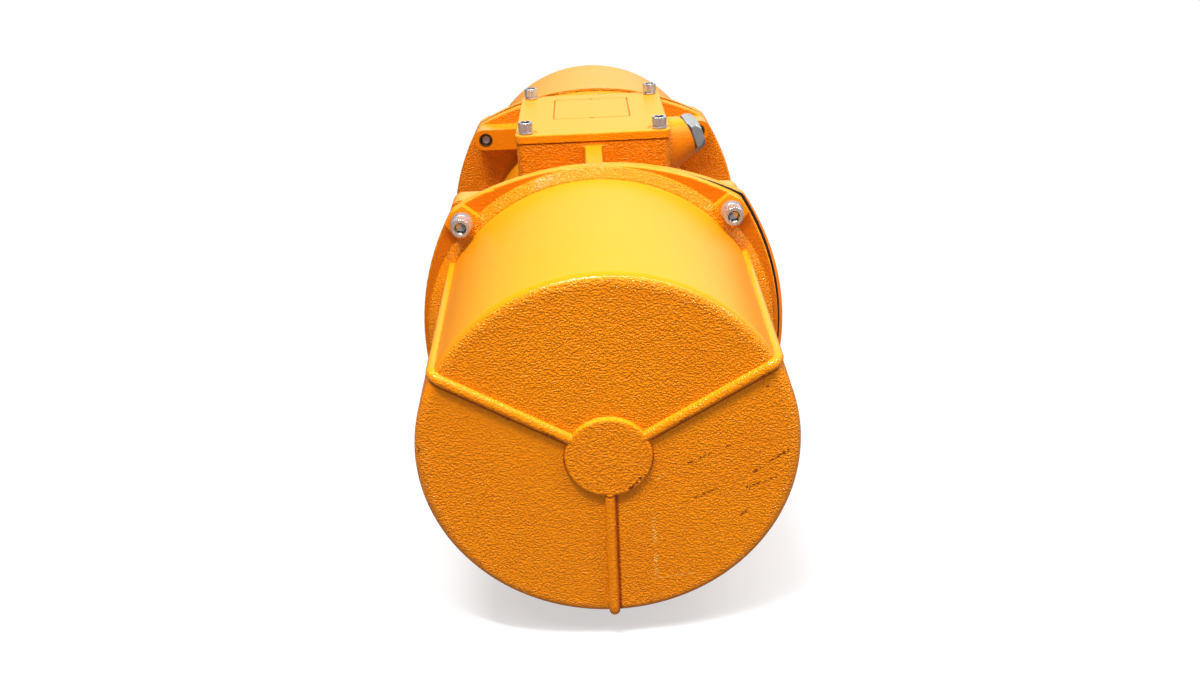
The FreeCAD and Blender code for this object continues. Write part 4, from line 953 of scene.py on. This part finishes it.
def floor_paper():
    """White paper that fades into the white surround away from the motor, and is grey to the motor."""
    f = Finish("floor_paper")
    fibre = f.noise(3, detail=3)
    eye = f.ray("Camera")
    paper = f.mix(fibre, (0.95, 0.95, 0.95), (0.98, 0.98, 0.98))
    seen = f.mix(eye, (0.27, 0.27, 0.27), paper)
    colour = f.mix(f.ray("Glossy"), seen, (0.10, 0.10, 0.10))
    f.surface({"Base Color": colour, "Roughness": 0.9, "Specular IOR Level": 0.0})
    away = (f.x * f.x + f.y * f.y) ** 0.5
    glow = f.node("Emission", {}, {"Color": WHITE, "Strength": 1.0})
    share = (away.rise(0.3, 0.7) * 0.45 + 0.55) * eye
    blend = f.node("MixShader", {}, {0: share, 1: f.shader.outputs[0], 2: glow})
    out = next(n for n in f.tree.nodes if n.type == "OUTPUT_MATERIAL")
    f.put(out.inputs["Surface"], blend)
    return f.material


def add_floor():
    size = FLOOR_HALF_SIZE
    corners = [(x, y, FLOOR_Z) for x, y in ((-size, -size), (size, -size), (size, size), (-size, size))]
    mesh = bpy.data.meshes.new("floor")
    mesh.from_pydata(corners, [], [(0, 1, 2, 3)])
    mesh.materials.append(floor_paper())
    floor = bpy.data.objects.new("floor", mesh)
    bpy.context.collection.objects.link(floor)


def add_lamp(name, place, aim, size, watts):
    lamp = bpy.data.lights.new(name, "AREA")
    lamp.shape = "RECTANGLE"
    lamp.size, lamp.size_y = size
    lamp.energy = watts
    holder = bpy.data.objects.new(name, lamp)
    holder.location = place
    holder.rotation_euler = (Vector(aim) - Vector(place)).to_track_quat("-Z", "Y").to_euler()
    bpy.context.collection.objects.link(holder)


def light_world():
    """Even light from all round. It is white to the eye; gloss sees it dimmer in front and on the left."""
    world = bpy.data.worlds.new("studio")
    bpy.context.scene.world = world
    world.use_nodes = True
    n = Nodes(world.node_tree)
    n.tree.nodes.clear()
    x, y = n.split(n.node("TexCoord", {}, {}, out="Generated"))[:2]
    behind = n.node("MapRange", {}, {"Value": y, "From Min": -1.0, "From Max": 0.3, "To Min": 0.12})
    right = n.node("MapRange", {}, {"Value": x, "From Min": -0.42, "From Max": 0.05, "To Min": 0.05})
    white_share = n.ray("Camera").maximum(n.ray("Glossy") * (behind * right))
    even = n.node("Background", {}, {"Color": WHITE, "Strength": 0.26})
    white = n.node("Background", {}, {"Color": WHITE, "Strength": 1.0})
    blend = n.node("MixShader", {}, {0: white_share, 1: even, 2: white})
    out = n.tree.nodes.new("ShaderNodeOutputWorld")
    n.put(out.inputs["Surface"], blend)


def add_camera():
    """Camera a little above the motor, looking along it at its front cover."""
    place = Vector((-0.0036, -0.8095, 0.4336))
    yaw, pitch, roll = (math.radians(angle) for angle in (0.19, 24.37, -2.49))
    camera = bpy.data.cameras.new("camera")
    camera.lens = 33.25
    camera.sensor_width = 36
    camera.clip_start = 0.05
    holder = bpy.data.objects.new("camera", camera)
    forward = Vector((math.sin(yaw) * math.cos(pitch), math.cos(yaw) * math.cos(pitch), -math.sin(pitch)))
    level = Vector((math.cos(yaw), -math.sin(yaw), 0))
    up = level.cross(forward)
    right = level * math.cos(roll) + up * math.sin(roll)
    up = up * math.cos(roll) - level * math.sin(roll)
    turn = Matrix((right, up, -forward)).transposed()
    holder.matrix_world = Matrix.Translation(place) @ turn.to_4x4()
    bpy.context.collection.objects.link(holder)
    bpy.context.scene.camera = holder


add_floor()
light_world()
for lamp in LAMPS:
    add_lamp(*lamp)
add_camera()
bpy.context.scene.view_settings.view_transform = "Standard"
